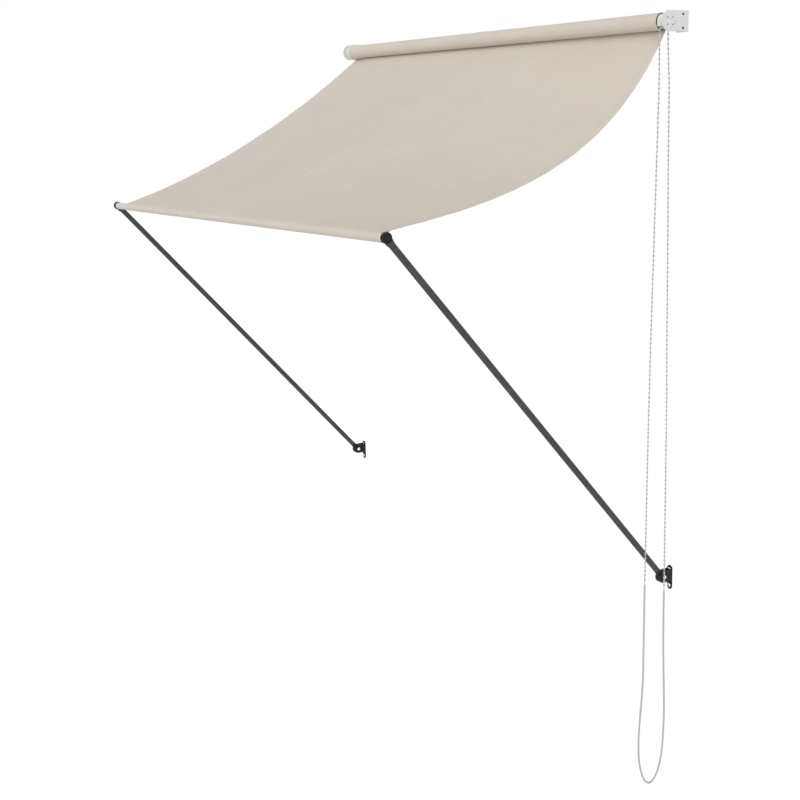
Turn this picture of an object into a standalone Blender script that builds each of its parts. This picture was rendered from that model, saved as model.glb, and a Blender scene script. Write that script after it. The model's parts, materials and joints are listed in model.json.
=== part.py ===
"""Chain-driven drop-arm awning: a canvas sheet on a wall roller, held out by two hinged arms.

Metres, +Z up. The wall is the plane Y = 0 and the awning stands out towards -Y. The origin is the
centre of the drive bracket's wall flange. The roller, the wall pivots and the front bar run along X.
"""

import math

import bmesh
import bpy
from mathutils import Vector

# Clearances
GAP = 0.0003
FIT = 0.0003

# Overall layout
ROLLER_STANDOFF = 0.0658
PIVOT_STANDOFF = 0.0329
PIVOT_DEPTH = 1.5037
ARM_LENGTH = 1.3528
ARM_ANGLE_RIGHT = math.radians(41.02)
ARM_ANGLE_LEFT = math.radians(41.85)
ARM_INSET_RIGHT = 0.0262
ARM_OUTSET_LEFT = 0.0889

# Roller brackets
BRACKET_PLATE = 0.0025
FLANGE_WIDTH = 0.040
BRACKET_HEIGHT = 0.0524
BRACKET_SHOULDER = 0.0778
BRACKET_REACH = 0.1005
BRACKET_HOLE_RADIUS = 0.0026
BRACKET_HOLE_STANDOFF = 0.0196
BRACKET_HOLE_SPACING = 0.0346
FLANGE_SLOT_RADIUS = 0.0027
FLANGE_SLOT_SPACING = 0.032
FLANGE_SLOT_LENGTH = 0.007
PEG_RADIUS = 0.0017
PEG_CIRCLE = 0.013
PEG_COUNT = 4

# Roller
TUBE_RADIUS = 0.019
TUBE_WALL = 0.0012
FLANGE_DISC_RADIUS = 0.0214
FLANGE_DISC_THICKNESS = 0.0016
PLUG_LENGTH = 0.045
DISC_TO_SPROCKET = 0.0006
IDLE_DISC_RADIUS = 0.0262
IDLE_DISC_THICKNESS = 0.0090
IDLE_HUB_RADIUS = 0.009
IDLE_HUB_LENGTH = 0.010
IDLE_PIN_RADIUS = 0.004
IDLE_COLLAR_RADIUS = 0.0072

# Chain drive
CHAIN_BALL = 0.0055
CHAIN_CORD_RADIUS = 0.0018
CHAIN_PITCH_RADIUS = 0.0143
GROOVE_WIDTH = 0.0070
SPROCKET_CHEEK = 0.0015
GUARD_CLEARANCE = 0.0008
GUARD_WALL = 0.0015
GUARD_SKIRT = 0.012
AXLE_RADIUS = 0.005
SLEEVE_WALL = 0.0016
CLUTCH_WIRE = 0.0009
CLUTCH_TURNS = 6
CLUTCH_PITCH = 0.0023

# Canvas
CANVAS_WIDTH = 1.496
CANVAS_THICKNESS = 0.0008
DRIVE_END_SPACE = 0.029
IDLE_END_SPACE = 0.0350
ROLL_RADIUS_RIGHT = 0.0220
ROLL_RADIUS_LEFT = 0.0222
ROLL_FLARE = 0.0031
ROLL_FLARE_LENGTH = 0.110
SEAM_WIDTH = 0.045
SEAM_HEIGHT = 0.0010
SAG_LEFT = 0.046
SAG_SEAM = 0.028
SAG_RIGHT = 0.128
SAG_SKEW_LEFT = 0.12
SAG_SKEW_SEAM = 0.0
SAG_SKEW_RIGHT = -0.28
HEM_TAPER_RIGHT = 0.0125
HEM_FLARE_LEFT = 0.0328
HEM_LENGTH = 0.020
HEM_NECK = 0.022

# Front bar
BAR_RADIUS = 0.0106
BAR_WALL = 0.0015
BAR_COLLAR = 0.008
BAR_PLUG_LENGTH = 0.030
BAR_BOLT_RADIUS = 0.004
BAR_BOLT_HEAD_RADIUS = 0.0068
BAR_BOLT_HEAD_HEIGHT = 0.0016

# Arms
ARM_TUBE_RADIUS = 0.0083
ARM_TUBE_WALL = 0.0015
HEAD_RADIUS = 0.0126
HEAD_THICKNESS = 0.0125
HEAD_NECK = 0.028
FOOT_RADIUS = 0.0168
FOOT_THICKNESS = 0.0114
FOOT_NECK = 0.032
SPIGOT_LENGTH = 0.030
SPRING_POCKET_RADIUS = 0.0096
SPRING_POCKET_DEPTH = 0.0086
SPRING_WIRE = 0.0010
SPRING_TURNS = 3
SPRING_MEAN_RADIUS = 0.0069

# Wall pivots
EAR_THICKNESS = 0.003
EAR_RADIUS = 0.0165
WALL_PLATE_HEIGHT = 0.0705
WALL_PLATE_THICKNESS = 0.003
WALL_PLATE_DROP = 0.0095
WALL_HOLE_SPACING = 0.0467
WALL_HOLE_RADIUS = 0.0028
PIVOT_BOLT_RADIUS = 0.004
PIVOT_HEAD_RADIUS = 0.0062
PIVOT_HEAD_HEIGHT = 0.0035
NUT_RADIUS = 0.0075
NUT_HEIGHT = 0.0055
BOLT_TAIL = 0.0025
SCREW_SHANK_RADIUS = 0.0023
SCREW_HEAD_RADIUS = 0.0058
SCREW_HEAD_HEIGHT = 0.0026

ROUND = 32
SMALL_ROUND = 16

# The chain hangs as a loop: standoff from the wall, height, and X, from the front of the sprocket,
# down, round the bottom and up to its back.
CHAIN_ROUTE = [
    (-0.0825, -0.060, 0.0005),
    (-0.0850, -0.110, 0.0030),
    (-0.0875, -0.160, 0.0058),
    (-0.0930, -0.350, 0.0073),
    (-0.1000, -0.600, 0.0083),
    (-0.1060, -0.830, 0.0090),
    (-0.1110, -1.080, 0.0099),
    (-0.1142, -1.300, 0.0108),
    (-0.1165, -1.520, 0.0110),
    (-0.1170, -1.680, 0.0110),
    (-0.1185, -1.800, 0.0110),
    (-0.1265, -1.895, 0.0110),
    (-0.1310, -1.965, 0.0110),
    (-0.1270, -2.035, 0.0110),
    (-0.1080, -2.092, 0.0110),
    (-0.0818, -2.112, 0.0110),
    (-0.0545, -2.085, 0.0110),
    (-0.0375, -2.020, 0.0110),
    (-0.0325, -1.930, 0.0110),
    (-0.0335, -1.860, 0.0110),
    (-0.0385, -1.740, 0.0110),
    (-0.0408, -1.640, 0.0110),
    (-0.0415, -1.480, 0.0110),
    (-0.0423, -1.250, 0.0107),
    (-0.0430, -1.000, 0.0096),
    (-0.0455, -0.830, 0.0090),
    (-0.0480, -0.560, 0.0080),
    (-0.0505, -0.330, 0.0070),
    (-0.0510, -0.160, 0.0058),
    (-0.0512, -0.110, 0.0030),
    (-0.0514, -0.060, 0.0005),
]
CHAIN_POINTS = 80

# Places worked out from the sizes above
PLATE_OUTER = FLANGE_WIDTH / 2
PLATE_INNER = PLATE_OUTER - BRACKET_PLATE
IDLE_OUTER = PLATE_OUTER - (DRIVE_END_SPACE + CANVAS_WIDTH + IDLE_END_SPACE)
IDLE_INNER = IDLE_OUTER + BRACKET_PLATE
ROLLER = Vector((0.0, -ROLLER_STANDOFF, 0.0))
CANVAS_RIGHT = PLATE_OUTER - DRIVE_END_SPACE
CANVAS_LEFT = CANVAS_RIGHT - CANVAS_WIDTH
DISC_LEFT = CANVAS_RIGHT + GAP
DISC_RIGHT = DISC_LEFT + FLANGE_DISC_THICKNESS
SPROCKET_WIDTH = GROOVE_WIDTH + 2 * SPROCKET_CHEEK
SPROCKET_LEFT = DISC_RIGHT + DISC_TO_SPROCKET
SPROCKET_RIGHT = SPROCKET_LEFT + SPROCKET_WIDTH
CHAIN_PLANE = SPROCKET_LEFT + SPROCKET_WIDTH / 2
HOUSING_LEFT = SPROCKET_RIGHT + GAP
HOUSING_RIGHT = PLATE_INNER - GAP
GUARD_INNER = CHAIN_PITCH_RADIUS + CHAIN_BALL / 2 + GUARD_CLEARANCE
GUARD_OUTER = GUARD_INNER + GUARD_WALL
CLUTCH_RADIUS = AXLE_RADIUS + FIT + CLUTCH_WIRE
SLEEVE_BORE = CLUTCH_RADIUS + CLUTCH_WIRE + FIT
SLEEVE_RADIUS = SLEEVE_BORE + SLEEVE_WALL
PLUG_RADIUS = TUBE_RADIUS - TUBE_WALL - FIT
PLUG_END = DISC_LEFT - PLUG_LENGTH
TUBE_RIGHT = CANVAS_RIGHT
TUBE_LEFT = CANVAS_LEFT
IDLE_DISC_RIGHT = TUBE_LEFT - GAP
IDLE_DISC_LEFT = IDLE_DISC_RIGHT - IDLE_DISC_THICKNESS
PIVOT_Y = -PIVOT_STANDOFF
PIVOT_Z = -PIVOT_DEPTH
ARM_RIGHT_X = PLATE_OUTER - ARM_INSET_RIGHT
ARM_LEFT_X = IDLE_OUTER - ARM_OUTSET_LEFT
HEAD_RIGHT = Vector((
    ARM_RIGHT_X,
    PIVOT_Y - ARM_LENGTH * math.sin(ARM_ANGLE_RIGHT),
    PIVOT_Z + ARM_LENGTH * math.cos(ARM_ANGLE_RIGHT),
))
HEAD_LEFT = Vector((
    ARM_LEFT_X,
    PIVOT_Y - ARM_LENGTH * math.sin(ARM_ANGLE_LEFT),
    PIVOT_Z + ARM_LENGTH * math.cos(ARM_ANGLE_LEFT),
))
BAR_SPAN = (HEAD_RIGHT - HEAD_LEFT).length
BAR_END_SPACE = HEAD_THICKNESS / 2 + GAP + BAR_COLLAR + GAP
EAR_INNER = FOOT_THICKNESS / 2 + FIT
EAR_OUTER = EAR_INNER + EAR_THICKNESS

# Colour, roughness and metallic value of each finish
FINISHES = {
    "white_steel": ((0.66, 0.66, 0.66), 0.35, 0.0),
    "white_plastic": ((0.72, 0.72, 0.71), 0.40, 0.0),
    "black_plastic": ((0.020, 0.020, 0.020), 0.45, 0.0),
    "anthracite_steel": ((0.060, 0.062, 0.058), 0.42, 0.0),
    "anthracite_cast": ((0.022, 0.022, 0.022), 0.45, 0.0),
    "zinc": ((0.62, 0.62, 0.60), 0.32, 1.0),
    "spring_steel": ((0.30, 0.30, 0.30), 0.35, 1.0),
    "aluminium": ((0.72, 0.72, 0.71), 0.35, 1.0),
    "light_grey_paint": ((0.60, 0.59, 0.56), 0.45, 0.0),
    "canvas": ((0.60, 0.54, 0.47), 0.85, 0.0),
    "grey_chain": ((0.55, 0.55, 0.54), 0.45, 0.0),
}


def clear_scene():
    for old in list(bpy.data.objects):
        bpy.data.objects.remove(old, do_unlink=True)


def finish(node, kind):
    """Make the node's own material in one of the awning's finishes."""
    colour, roughness, metallic = FINISHES[kind]
    material = bpy.data.materials.new(node + "_finish")
    material.use_nodes = True
    shader = material.node_tree.nodes["Principled BSDF"]
    shader.inputs["Base Color"].default_value = (*colour, 1.0)
    shader.inputs["Roughness"].default_value = roughness
    shader.inputs["Metallic"].default_value = metallic
    return material


def add_object(node, bm, kind, parent=None, smooth=True):
    """Turn a bmesh into a named object, with its faces pointing out."""
    bmesh.ops.recalc_face_normals(bm, faces=bm.faces)
    mesh = bpy.data.meshes.new(node)
    bm.to_mesh(mesh)
    bm.free()
    obj = bpy.data.objects.new(node, mesh)
    bpy.context.collection.objects.link(obj)
    if kind:
        mesh.materials.append(finish(node, kind))
    if smooth:
        mesh.shade_smooth()
        mesh.set_sharp_from_angle(angle=math.radians(35))
    obj.parent = parent
    return obj


def add_pivot(name, place, turn=0.0, along=None):
    """Add the empty that a moving group hangs on, on its joint's axis."""
    empty = bpy.data.objects.new(name, None)
    empty.location = place
    empty.rotation_euler = (turn, 0.0, 0.0)
    if along is not None:
        empty.rotation_euler = Vector((1, 0, 0)).rotation_difference(along).to_euler()
    bpy.context.collection.objects.link(empty)
    return empty


def turned(bm, profile, axis, centre=(0.0, 0.0, 0.0), segments=ROUND):
    """Spin a closed profile of (along, radius) points round an axis through centre."""
    centre = Vector(centre)
    along_axis = Vector({"X": (1, 0, 0), "Y": (0, 1, 0), "Z": (0, 0, 1)}[axis])
    side = Vector({"X": (0, 1, 0), "Y": (0, 0, 1), "Z": (1, 0, 0)}[axis])
    up = along_axis.cross(side)
    rings = []
    for along, radius in profile:
        middle = centre + along_axis * along
        if radius == 0.0:
            rings.append([bm.verts.new(middle)] * segments)
            continue
        ring = []
        for k in range(segments):
            angle = 2 * math.pi * k / segments
            ring.append(bm.verts.new(middle + (side * math.cos(angle) + up * math.sin(angle)) * radius))
        rings.append(ring)
    on_axis = profile[0][1] == 0.0 and profile[-1][1] == 0.0
    last = len(rings) - 1 if on_axis else len(rings)
    for i in range(last):
        near, far = rings[i], rings[(i + 1) % len(rings)]
        for k in range(segments):
            corners = [near[k], near[(k + 1) % segments], far[(k + 1) % segments], far[k]]
            unique = list(dict.fromkeys(corners))
            if len(unique) > 2:
                bm.faces.new(unique)
    return bm


def cylinder_profile(start, end, radius):
    return [(start, 0.0), (start, radius), (end, radius), (end, 0.0)]


def ring_profile(start, end, inner, outer):
    return [(start, inner), (start, outer), (end, outer), (end, inner)]


def turned_object(node, profile, axis, kind, centre=(0.0, 0.0, 0.0), parent=None, segments=ROUND):
    return add_object(node, turned(bmesh.new(), profile, axis, centre, segments), kind, parent)


def circle_points(centre, radius, segments=SMALL_ROUND, start=0.0, sweep=2 * math.pi):
    """Points round a circle, or along an arc with both of its ends."""
    steps = segments if sweep >= 2 * math.pi else segments + 1
    return [
        (centre[0] + radius * math.cos(start + sweep * k / segments),
         centre[1] + radius * math.sin(start + sweep * k / segments))
        for k in range(steps)
    ]


def slot_points(centre, radius, length):
    """Points round a slot that runs along the first coordinate."""
    half = length / 2
    right = circle_points((centre[0] + half, centre[1]), radius, 8, -math.pi / 2, math.pi)
    left = circle_points((centre[0] - half, centre[1]), radius, 8, math.pi / 2, math.pi)
    return right + left


def sheet_metal(bm, outline, holes, place, thickness_axis, thickness):
    """Fill an outline with holes and pull it to a thickness; place maps (a, b) to a point."""
    edges = []
    for loop in [outline] + holes:
        verts = [bm.verts.new(place(a, b)) for a, b in loop]
        for i, vert in enumerate(verts):
            edges.append(bm.edges.new((vert, verts[(i + 1) % len(verts)])))
    filled = bmesh.ops.triangle_fill(bm, use_beauty=True, edges=edges)
    faces = [item for item in filled["geom"] if isinstance(item, bmesh.types.BMFace)]
    pulled = bmesh.ops.extrude_face_region(bm, geom=faces)
    moved = [item for item in pulled["geom"] if isinstance(item, bmesh.types.BMVert)]
    bmesh.ops.translate(bm, verts=moved, vec=Vector(thickness_axis) * thickness)
    return bm


def lofted(bm, sections):
    """Join rings of equal length into a closed solid with flat ends."""
    rings = [[bm.verts.new(point) for point in section] for section in sections]
    count = len(rings[0])
    for near, far in zip(rings, rings[1:]):
        for k in range(count):
            bm.faces.new((near[k], near[(k + 1) % count], far[(k + 1) % count], far[k]))
    bm.faces.new(list(reversed(rings[0])))
    bm.faces.new(rings[-1])
    return bm


def neck_section(height, half_x, half_y, segments=24):
    """A rounded-oblong ring across the arm at a height along it."""
    power = 0.7 if abs(half_x - half_y) > 0.001 else 1.0
    ring = []
    for k in range(segments):
        c, s = math.cos(2 * math.pi * k / segments), math.sin(2 * math.pi * k / segments)
        ring.append(Vector((
            half_x * math.copysign(abs(c) ** power, c),
            half_y * math.copysign(abs(s) ** power, s),
            height,
        )))
    return ring


def combine(target, tool, operation):
    """Join or cut one solid with another, and keep the tool only as a hidden guide."""
    modifier = target.modifiers.new(operation.lower() + "_" + tool.name, "BOOLEAN")
    modifier.operation = operation
    modifier.solver = "EXACT"
    modifier.object = tool
    tool.hide_render = True
    tool.display_type = "WIRE"


def coil_object(node, mean_radius, wire, turns, start, pitch, kind, centre, parent=None):
    """Wind a round wire round an axis along X, from start towards -X."""
    per_turn, sides = 14, 6
    bm = bmesh.new()
    sections = []
    for i in range(turns * per_turn + 1):
        angle = 2 * math.pi * i / per_turn
        outward = Vector((0.0, math.cos(angle), math.sin(angle)))
        middle = Vector(centre) + Vector((start - pitch * i / per_turn, 0, 0)) + outward * mean_radius
        ring = []
        for k in range(sides):
            turn = 2 * math.pi * k / sides
            ring.append(middle + (outward * math.cos(turn) + Vector((1, 0, 0)) * math.sin(turn)) * wire)
        sections.append(ring)
    lofted(bm, sections)
    return add_object(node, bm, kind, parent)


def roller_bracket(node, outer, inward, pointed):
    """A folded steel bracket: a side plate with a pointed or round front and a wall flange."""
    half = BRACKET_HEIGHT / 2
    outline = [(0.0, half), (0.0, -half)]
    if pointed:
        tip_radius = 0.010
        tip_centre = (-BRACKET_REACH + tip_radius, 0.0)
        outline += [(-BRACKET_SHOULDER, -half)]
        outline += circle_points(tip_centre, tip_radius, 6, 1.25 * math.pi, -0.5 * math.pi)
        outline += [(-BRACKET_SHOULDER, half)]
    else:
        outline += circle_points((ROLLER.y, ROLLER.z), half, 20, 1.5 * math.pi, -math.pi)
    holes = []
    for side in (-1, 1):
        centre = (-BRACKET_HOLE_STANDOFF, side * BRACKET_HOLE_SPACING / 2)
        holes.append(circle_points(centre, BRACKET_HOLE_RADIUS))
    holes.append(circle_points((ROLLER.y, ROLLER.z), AXLE_RADIUS + FIT, ROUND))
    for k in range(PEG_COUNT):
        angle = math.pi / 4 + 2 * math.pi * k / PEG_COUNT
        centre = (ROLLER.y + PEG_CIRCLE * math.cos(angle), ROLLER.z + PEG_CIRCLE * math.sin(angle))
        holes.append(circle_points(centre, PEG_RADIUS + FIT, 12))
    plate = sheet_metal(
        bmesh.new(), outline, holes, lambda y, z: Vector((outer, y, z)), (inward, 0, 0), BRACKET_PLATE
    )
    bracket = add_object(node, plate, "white_steel", smooth=False)
    flange_end = outer + inward * FLANGE_WIDTH
    middle = (outer + flange_end) / 2
    flange_outline = [(outer, -half), (flange_end, -half), (flange_end, half), (outer, half)]
    slots = []
    for side in (-1, 1):
        slots.append(slot_points(
            (middle, side * FLANGE_SLOT_SPACING / 2), FLANGE_SLOT_RADIUS, FLANGE_SLOT_LENGTH
        ))
    flange = sheet_metal(
        bmesh.new(), flange_outline, slots, lambda x, z: Vector((x, 0.0, z)), (0, -1, 0), BRACKET_PLATE
    )
    combine(bracket, add_object(node + "_flange", flange, None, smooth=False), "UNION")
    return bracket


def arch_points(radius, skirt):
    """A half circle over the roller axis with two straight legs down to the skirt."""
    points = circle_points((ROLLER.y, 0), radius, 24, 0.0, math.pi)
    return points + [(ROLLER.y - radius, -skirt), (ROLLER.y + radius, -skirt)]


def drive_housing():
    """The moulded clutch housing: a base, its pegs, and the hood over the chain wheel."""
    hood_left = DISC_RIGHT + 2 * GAP
    bore = circle_points((ROLLER.y, 0), AXLE_RADIUS + FIT, ROUND)
    block = sheet_metal(
        bmesh.new(), arch_points(GUARD_OUTER, GUARD_SKIRT), [bore],
        lambda y, z: Vector((hood_left, y, z)), (1, 0, 0), HOUSING_RIGHT - hood_left
    )
    housing = add_object("drive_housing", block, "white_plastic")
    room_left = hood_left - GUARD_WALL
    room = sheet_metal(
        bmesh.new(), arch_points(GUARD_INNER, 2 * GUARD_SKIRT), [],
        lambda y, z: Vector((room_left, y, z)), (1, 0, 0), HOUSING_LEFT - room_left
    )
    combine(housing, add_object("drive_housing_room", room, None), "DIFFERENCE")
    pegs = bmesh.new()
    for k in range(PEG_COUNT):
        angle = math.pi / 4 + 2 * math.pi * k / PEG_COUNT
        centre = ROLLER + Vector((0, PEG_CIRCLE * math.cos(angle), PEG_CIRCLE * math.sin(angle)))
        peg = cylinder_profile(HOUSING_RIGHT - GUARD_WALL, PLATE_OUTER - GAP, PEG_RADIUS)
        turned(pegs, peg, "X", centre, 12)
    combine(housing, add_object("drive_housing_pegs", pegs, None), "UNION")


def chain_drive(roller):
    """Axle, chain wheel with its sleeve, wrap spring and the plug that turns the roller tube."""
    axle_end = PLUG_END + FIT
    turned_object(
        "drive_axle", cylinder_profile(axle_end, PLATE_OUTER - GAP, AXLE_RADIUS), "X",
        "zinc", ROLLER
    )
    root = CHAIN_PITCH_RADIUS - CHAIN_CORD_RADIUS - GAP
    rim = CHAIN_PITCH_RADIUS + CHAIN_CORD_RADIUS
    pocket = SPROCKET_LEFT - SPROCKET_CHEEK
    sleeve_end = PLUG_END + 2 * GAP
    wheel = [
        (SPROCKET_RIGHT, AXLE_RADIUS + FIT),
        (SPROCKET_RIGHT, rim),
        (SPROCKET_RIGHT - SPROCKET_CHEEK, rim),
        (SPROCKET_RIGHT - SPROCKET_CHEEK, root),
        (SPROCKET_LEFT + SPROCKET_CHEEK, root),
        (SPROCKET_LEFT + SPROCKET_CHEEK, rim),
        (SPROCKET_LEFT, rim),
        (SPROCKET_LEFT, SLEEVE_RADIUS),
        (sleeve_end, SLEEVE_RADIUS),
        (sleeve_end, SLEEVE_BORE),
        (pocket, SLEEVE_BORE),
        (pocket, AXLE_RADIUS + FIT),
    ]
    turned_object("chain_wheel", wheel, "X", "white_plastic", (0, 0, 0), roller)
    coil_object(
        "clutch_spring", CLUTCH_RADIUS, CLUTCH_WIRE, CLUTCH_TURNS, pocket - CLUTCH_WIRE - GAP,
        CLUTCH_PITCH, "spring_steel", ROLLER
    )
    plug = [
        (DISC_RIGHT, SLEEVE_RADIUS + FIT),
        (DISC_RIGHT, FLANGE_DISC_RADIUS),
        (DISC_LEFT, FLANGE_DISC_RADIUS),
        (DISC_LEFT, PLUG_RADIUS),
        (PLUG_END, PLUG_RADIUS),
        (PLUG_END, SLEEVE_RADIUS + FIT),
    ]
    turned_object("drive_plug", plug, "X", "black_plastic", (0, 0, 0), roller)


def idle_end(roller):
    """The plain end of the roller: a plug with a flange, turning on a fixed pin."""
    hub_left = IDLE_DISC_LEFT - IDLE_HUB_LENGTH
    plug_end = IDLE_DISC_RIGHT + PLUG_LENGTH
    bore = IDLE_PIN_RADIUS + FIT
    plug = [
        (hub_left, bore),
        (hub_left, IDLE_HUB_RADIUS),
        (IDLE_DISC_LEFT, IDLE_HUB_RADIUS),
        (IDLE_DISC_LEFT, IDLE_DISC_RADIUS),
        (IDLE_DISC_RIGHT, IDLE_DISC_RADIUS),
        (IDLE_DISC_RIGHT, PLUG_RADIUS),
        (plug_end, PLUG_RADIUS),
        (plug_end, bore),
    ]
    turned_object("idle_plug", plug, "X", "white_plastic", (0, 0, 0), roller)
    pin = [
        (IDLE_OUTER + GAP, 0.0),
        (IDLE_OUTER + GAP, AXLE_RADIUS),
        (IDLE_INNER + GAP, AXLE_RADIUS),
        (IDLE_INNER + GAP, IDLE_COLLAR_RADIUS),
        (hub_left - GAP, IDLE_COLLAR_RADIUS),
        (hub_left - GAP, IDLE_PIN_RADIUS),
        (plug_end, IDLE_PIN_RADIUS),
        (plug_end, 0.0),
    ]
    turned_object("idle_pin", pin, "X", "zinc", ROLLER)


def roll_radius(x):
    """Outside radius of the rolled canvas: thicker over the middle seam and at the left hem."""
    share = (CANVAS_RIGHT - x) / CANVAS_WIDTH
    plain = ROLL_RADIUS_RIGHT + (ROLL_RADIUS_LEFT - ROLL_RADIUS_RIGHT) * share
    off_seam = abs(x - (CANVAS_RIGHT + CANVAS_LEFT) / 2) / SEAM_WIDTH
    off_end = (x - CANVAS_LEFT) / ROLL_FLARE_LENGTH
    flare = ROLL_FLARE * max(0.0, 1.0 - off_end) ** 2
    return plain + flare + SEAM_HEIGHT * max(0.0, 1.0 - off_seam ** 2)


def roller_and_roll(roller):
    tube = ring_profile(TUBE_LEFT, TUBE_RIGHT, TUBE_RADIUS - TUBE_WALL, TUBE_RADIUS)
    turned_object("roller_tube", tube, "X", "aluminium", (0, 0, 0), roller)
    middle = (CANVAS_RIGHT + CANVAS_LEFT) / 2
    stations = [CANVAS_LEFT + ROLL_FLARE_LENGTH * k / 3 for k in range(4)]
    stations += [CANVAS_LEFT + CANVAS_WIDTH / 4]
    stations += [middle + SEAM_WIDTH * k / 3 for k in range(-3, 4)]
    stations += [CANVAS_RIGHT - CANVAS_WIDTH / 4, CANVAS_RIGHT]
    profile = [(x, roll_radius(x)) for x in stations]
    profile += [(CANVAS_RIGHT, TUBE_RADIUS + FIT), (CANVAS_LEFT, TUBE_RADIUS + FIT)]
    turned_object("canvas_roll", profile, "X", "canvas", (0, 0, 0), roller, 48)


def across_canvas(share, left, seam, right):
    """Read a value that is given at the left edge, the middle seam and the right edge."""
    if share < 0.5:
        return left + (seam - left) * share * 2
    return seam + (right - seam) * (share * 2 - 1)


def canvas_section(share):
    """The canvas's middle line in the YZ plane, share 0 at the left edge and 1 at the right."""
    half = CANVAS_THICKNESS / 2
    sag = across_canvas(share, SAG_LEFT, SAG_SEAM, SAG_RIGHT)
    skew = across_canvas(share, SAG_SKEW_LEFT, SAG_SKEW_SEAM, SAG_SKEW_RIGHT)
    hem_left = CANVAS_LEFT - HEM_FLARE_LEFT
    hem_right = CANVAS_RIGHT - HEM_TAPER_RIGHT
    hem_x = hem_left + (hem_right - hem_left) * share
    bar = HEAD_RIGHT.lerp(HEAD_LEFT, (ARM_RIGHT_X - hem_x) / (ARM_RIGHT_X - ARM_LEFT_X))
    bar.x = 0.0
    chord = bar - ROLLER
    length = chord.length
    slope = math.atan2(-chord.z, -chord.y)
    leave = slope + math.atan(4 * (1 - skew) * sag / length)
    arrive = slope - math.atan(4 * (1 + skew) * sag / length)
    x = CANVAS_LEFT + CANVAS_WIDTH * share
    roll = roll_radius(x) + GAP + half
    wrap = BAR_RADIUS + GAP + half
    start = ROLLER + Vector((0, math.sin(leave), -math.cos(leave))) * roll
    end = bar + Vector((0, -math.sin(arrive), math.cos(arrive))) * wrap
    along = end - start
    down = Vector((0, along.z, -along.y)).normalized()
    if down.z > 0:
        down = -down
    line = []
    steps = 26
    for i in range(steps + 1):
        s = i / steps
        drop = sag * 4 * s * (1 - s) * (1 + skew * (2 * s - 1))
        line.append((start + along * s + down * drop, s))
    back = Vector((0, math.cos(arrive), math.sin(arrive)))
    under = Vector((0, math.sin(arrive), -math.cos(arrive)))
    flap = end + back * HEM_NECK + under * (CANVAS_THICKNESS + GAP)
    reach = flap - bar
    reach_angle = math.atan2(reach.z, reach.y)
    leave_angle = reach_angle - math.acos(wrap / reach.length)
    first_angle = math.atan2(end.z - bar.z, end.y - bar.y)
    sweep = (leave_angle - first_angle) % (2 * math.pi)
    arc_steps = 14
    for i in range(1, arc_steps + 1):
        angle = first_angle + sweep * i / arc_steps
        line.append((bar + Vector((0, math.cos(angle), math.sin(angle))) * wrap, 1.0))
    line.append((flap, 1.0))
    line.append((flap + back * HEM_LENGTH, 1.0))
    return line


def canvas_sheet():
    """The open canvas: sagging between roll and bar, with a hem sleeve round the bar."""
    bm = bmesh.new()
    columns = 9
    half = CANVAS_THICKNESS / 2
    grid = []
    for c in range(columns):
        share = c / (columns - 1)
        line = canvas_section(share)
        upper, lower = [], []
        for i, (point, s) in enumerate(line):
            before = line[max(i - 1, 0)][0]
            after = line[min(i + 1, len(line) - 1)][0]
            run = (after - before).normalized()
            normal = Vector((0, -run.z, run.y)) * -1.0
            left = CANVAS_LEFT - HEM_FLARE_LEFT * s
            right = CANVAS_RIGHT - HEM_TAPER_RIGHT * s
            across = Vector((left + (right - left) * share, 0, 0))
            upper.append(bm.verts.new(point + across + normal * half))
            lower.append(bm.verts.new(point + across - normal * half))
        grid.append(upper + list(reversed(lower)))
    count = len(grid[0])
    for near, far in zip(grid, grid[1:]):
        for i in range(count):
            j = (i + 1) % count
            if i < count // 2:
                bm.faces.new((near[i], near[j], far[j]))
                bm.faces.new((near[i], far[j], far[i]))
            else:
                bm.faces.new((near[i], near[j], far[i]))
                bm.faces.new((near[j], far[j], far[i]))
    for ring in (grid[0], grid[-1]):
        for i in range(count // 2 - 1):
            bm.faces.new((ring[i], ring[i + 1], ring[count - 2 - i], ring[count - 1 - i]))
    add_object("canvas", bm, "canvas")


def front_bar(bar):
    tube = ring_profile(
        BAR_END_SPACE - BAR_SPAN, -BAR_END_SPACE, BAR_RADIUS - BAR_WALL, BAR_RADIUS
    )
    turned_object("front_bar_tube", tube, "X", "light_grey_paint", (0, 0, 0), bar)
    for side, arm_x, inward in (("right", 0.0, -1), ("left", -BAR_SPAN, 1)):
        collar = arm_x + inward * (HEAD_THICKNESS / 2 + GAP)
        shoulder = collar + inward * BAR_COLLAR
        inner_end = shoulder + inward * BAR_PLUG_LENGTH
        bore = BAR_BOLT_RADIUS + FIT
        plug = [
            (collar, bore),
            (collar, BAR_RADIUS),
            (shoulder, BAR_RADIUS),
            (shoulder, BAR_RADIUS - BAR_WALL - FIT),
            (inner_end, BAR_RADIUS - BAR_WALL - FIT),
            (inner_end, bore),
        ]
        turned_object("bar_plug_" + side, plug, "X", "white_plastic", (0, 0, 0), bar)
        face = arm_x - inward * (HEAD_THICKNESS / 2 + GAP)
        crown = face - inward * BAR_BOLT_HEAD_HEIGHT
        bolt = [
            (crown, 0.0),
            (crown, BAR_BOLT_HEAD_RADIUS * 0.8),
            (face - inward * BAR_BOLT_HEAD_HEIGHT * 0.5, BAR_BOLT_HEAD_RADIUS),
            (face, BAR_BOLT_HEAD_RADIUS),
            (face, BAR_BOLT_RADIUS),
            (inner_end, BAR_BOLT_RADIUS),
            (inner_end, 0.0),
        ]
        turned_object("bar_bolt_" + side, bolt, "X", "anthracite_cast", (0, 0, 0), bar)


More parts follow.
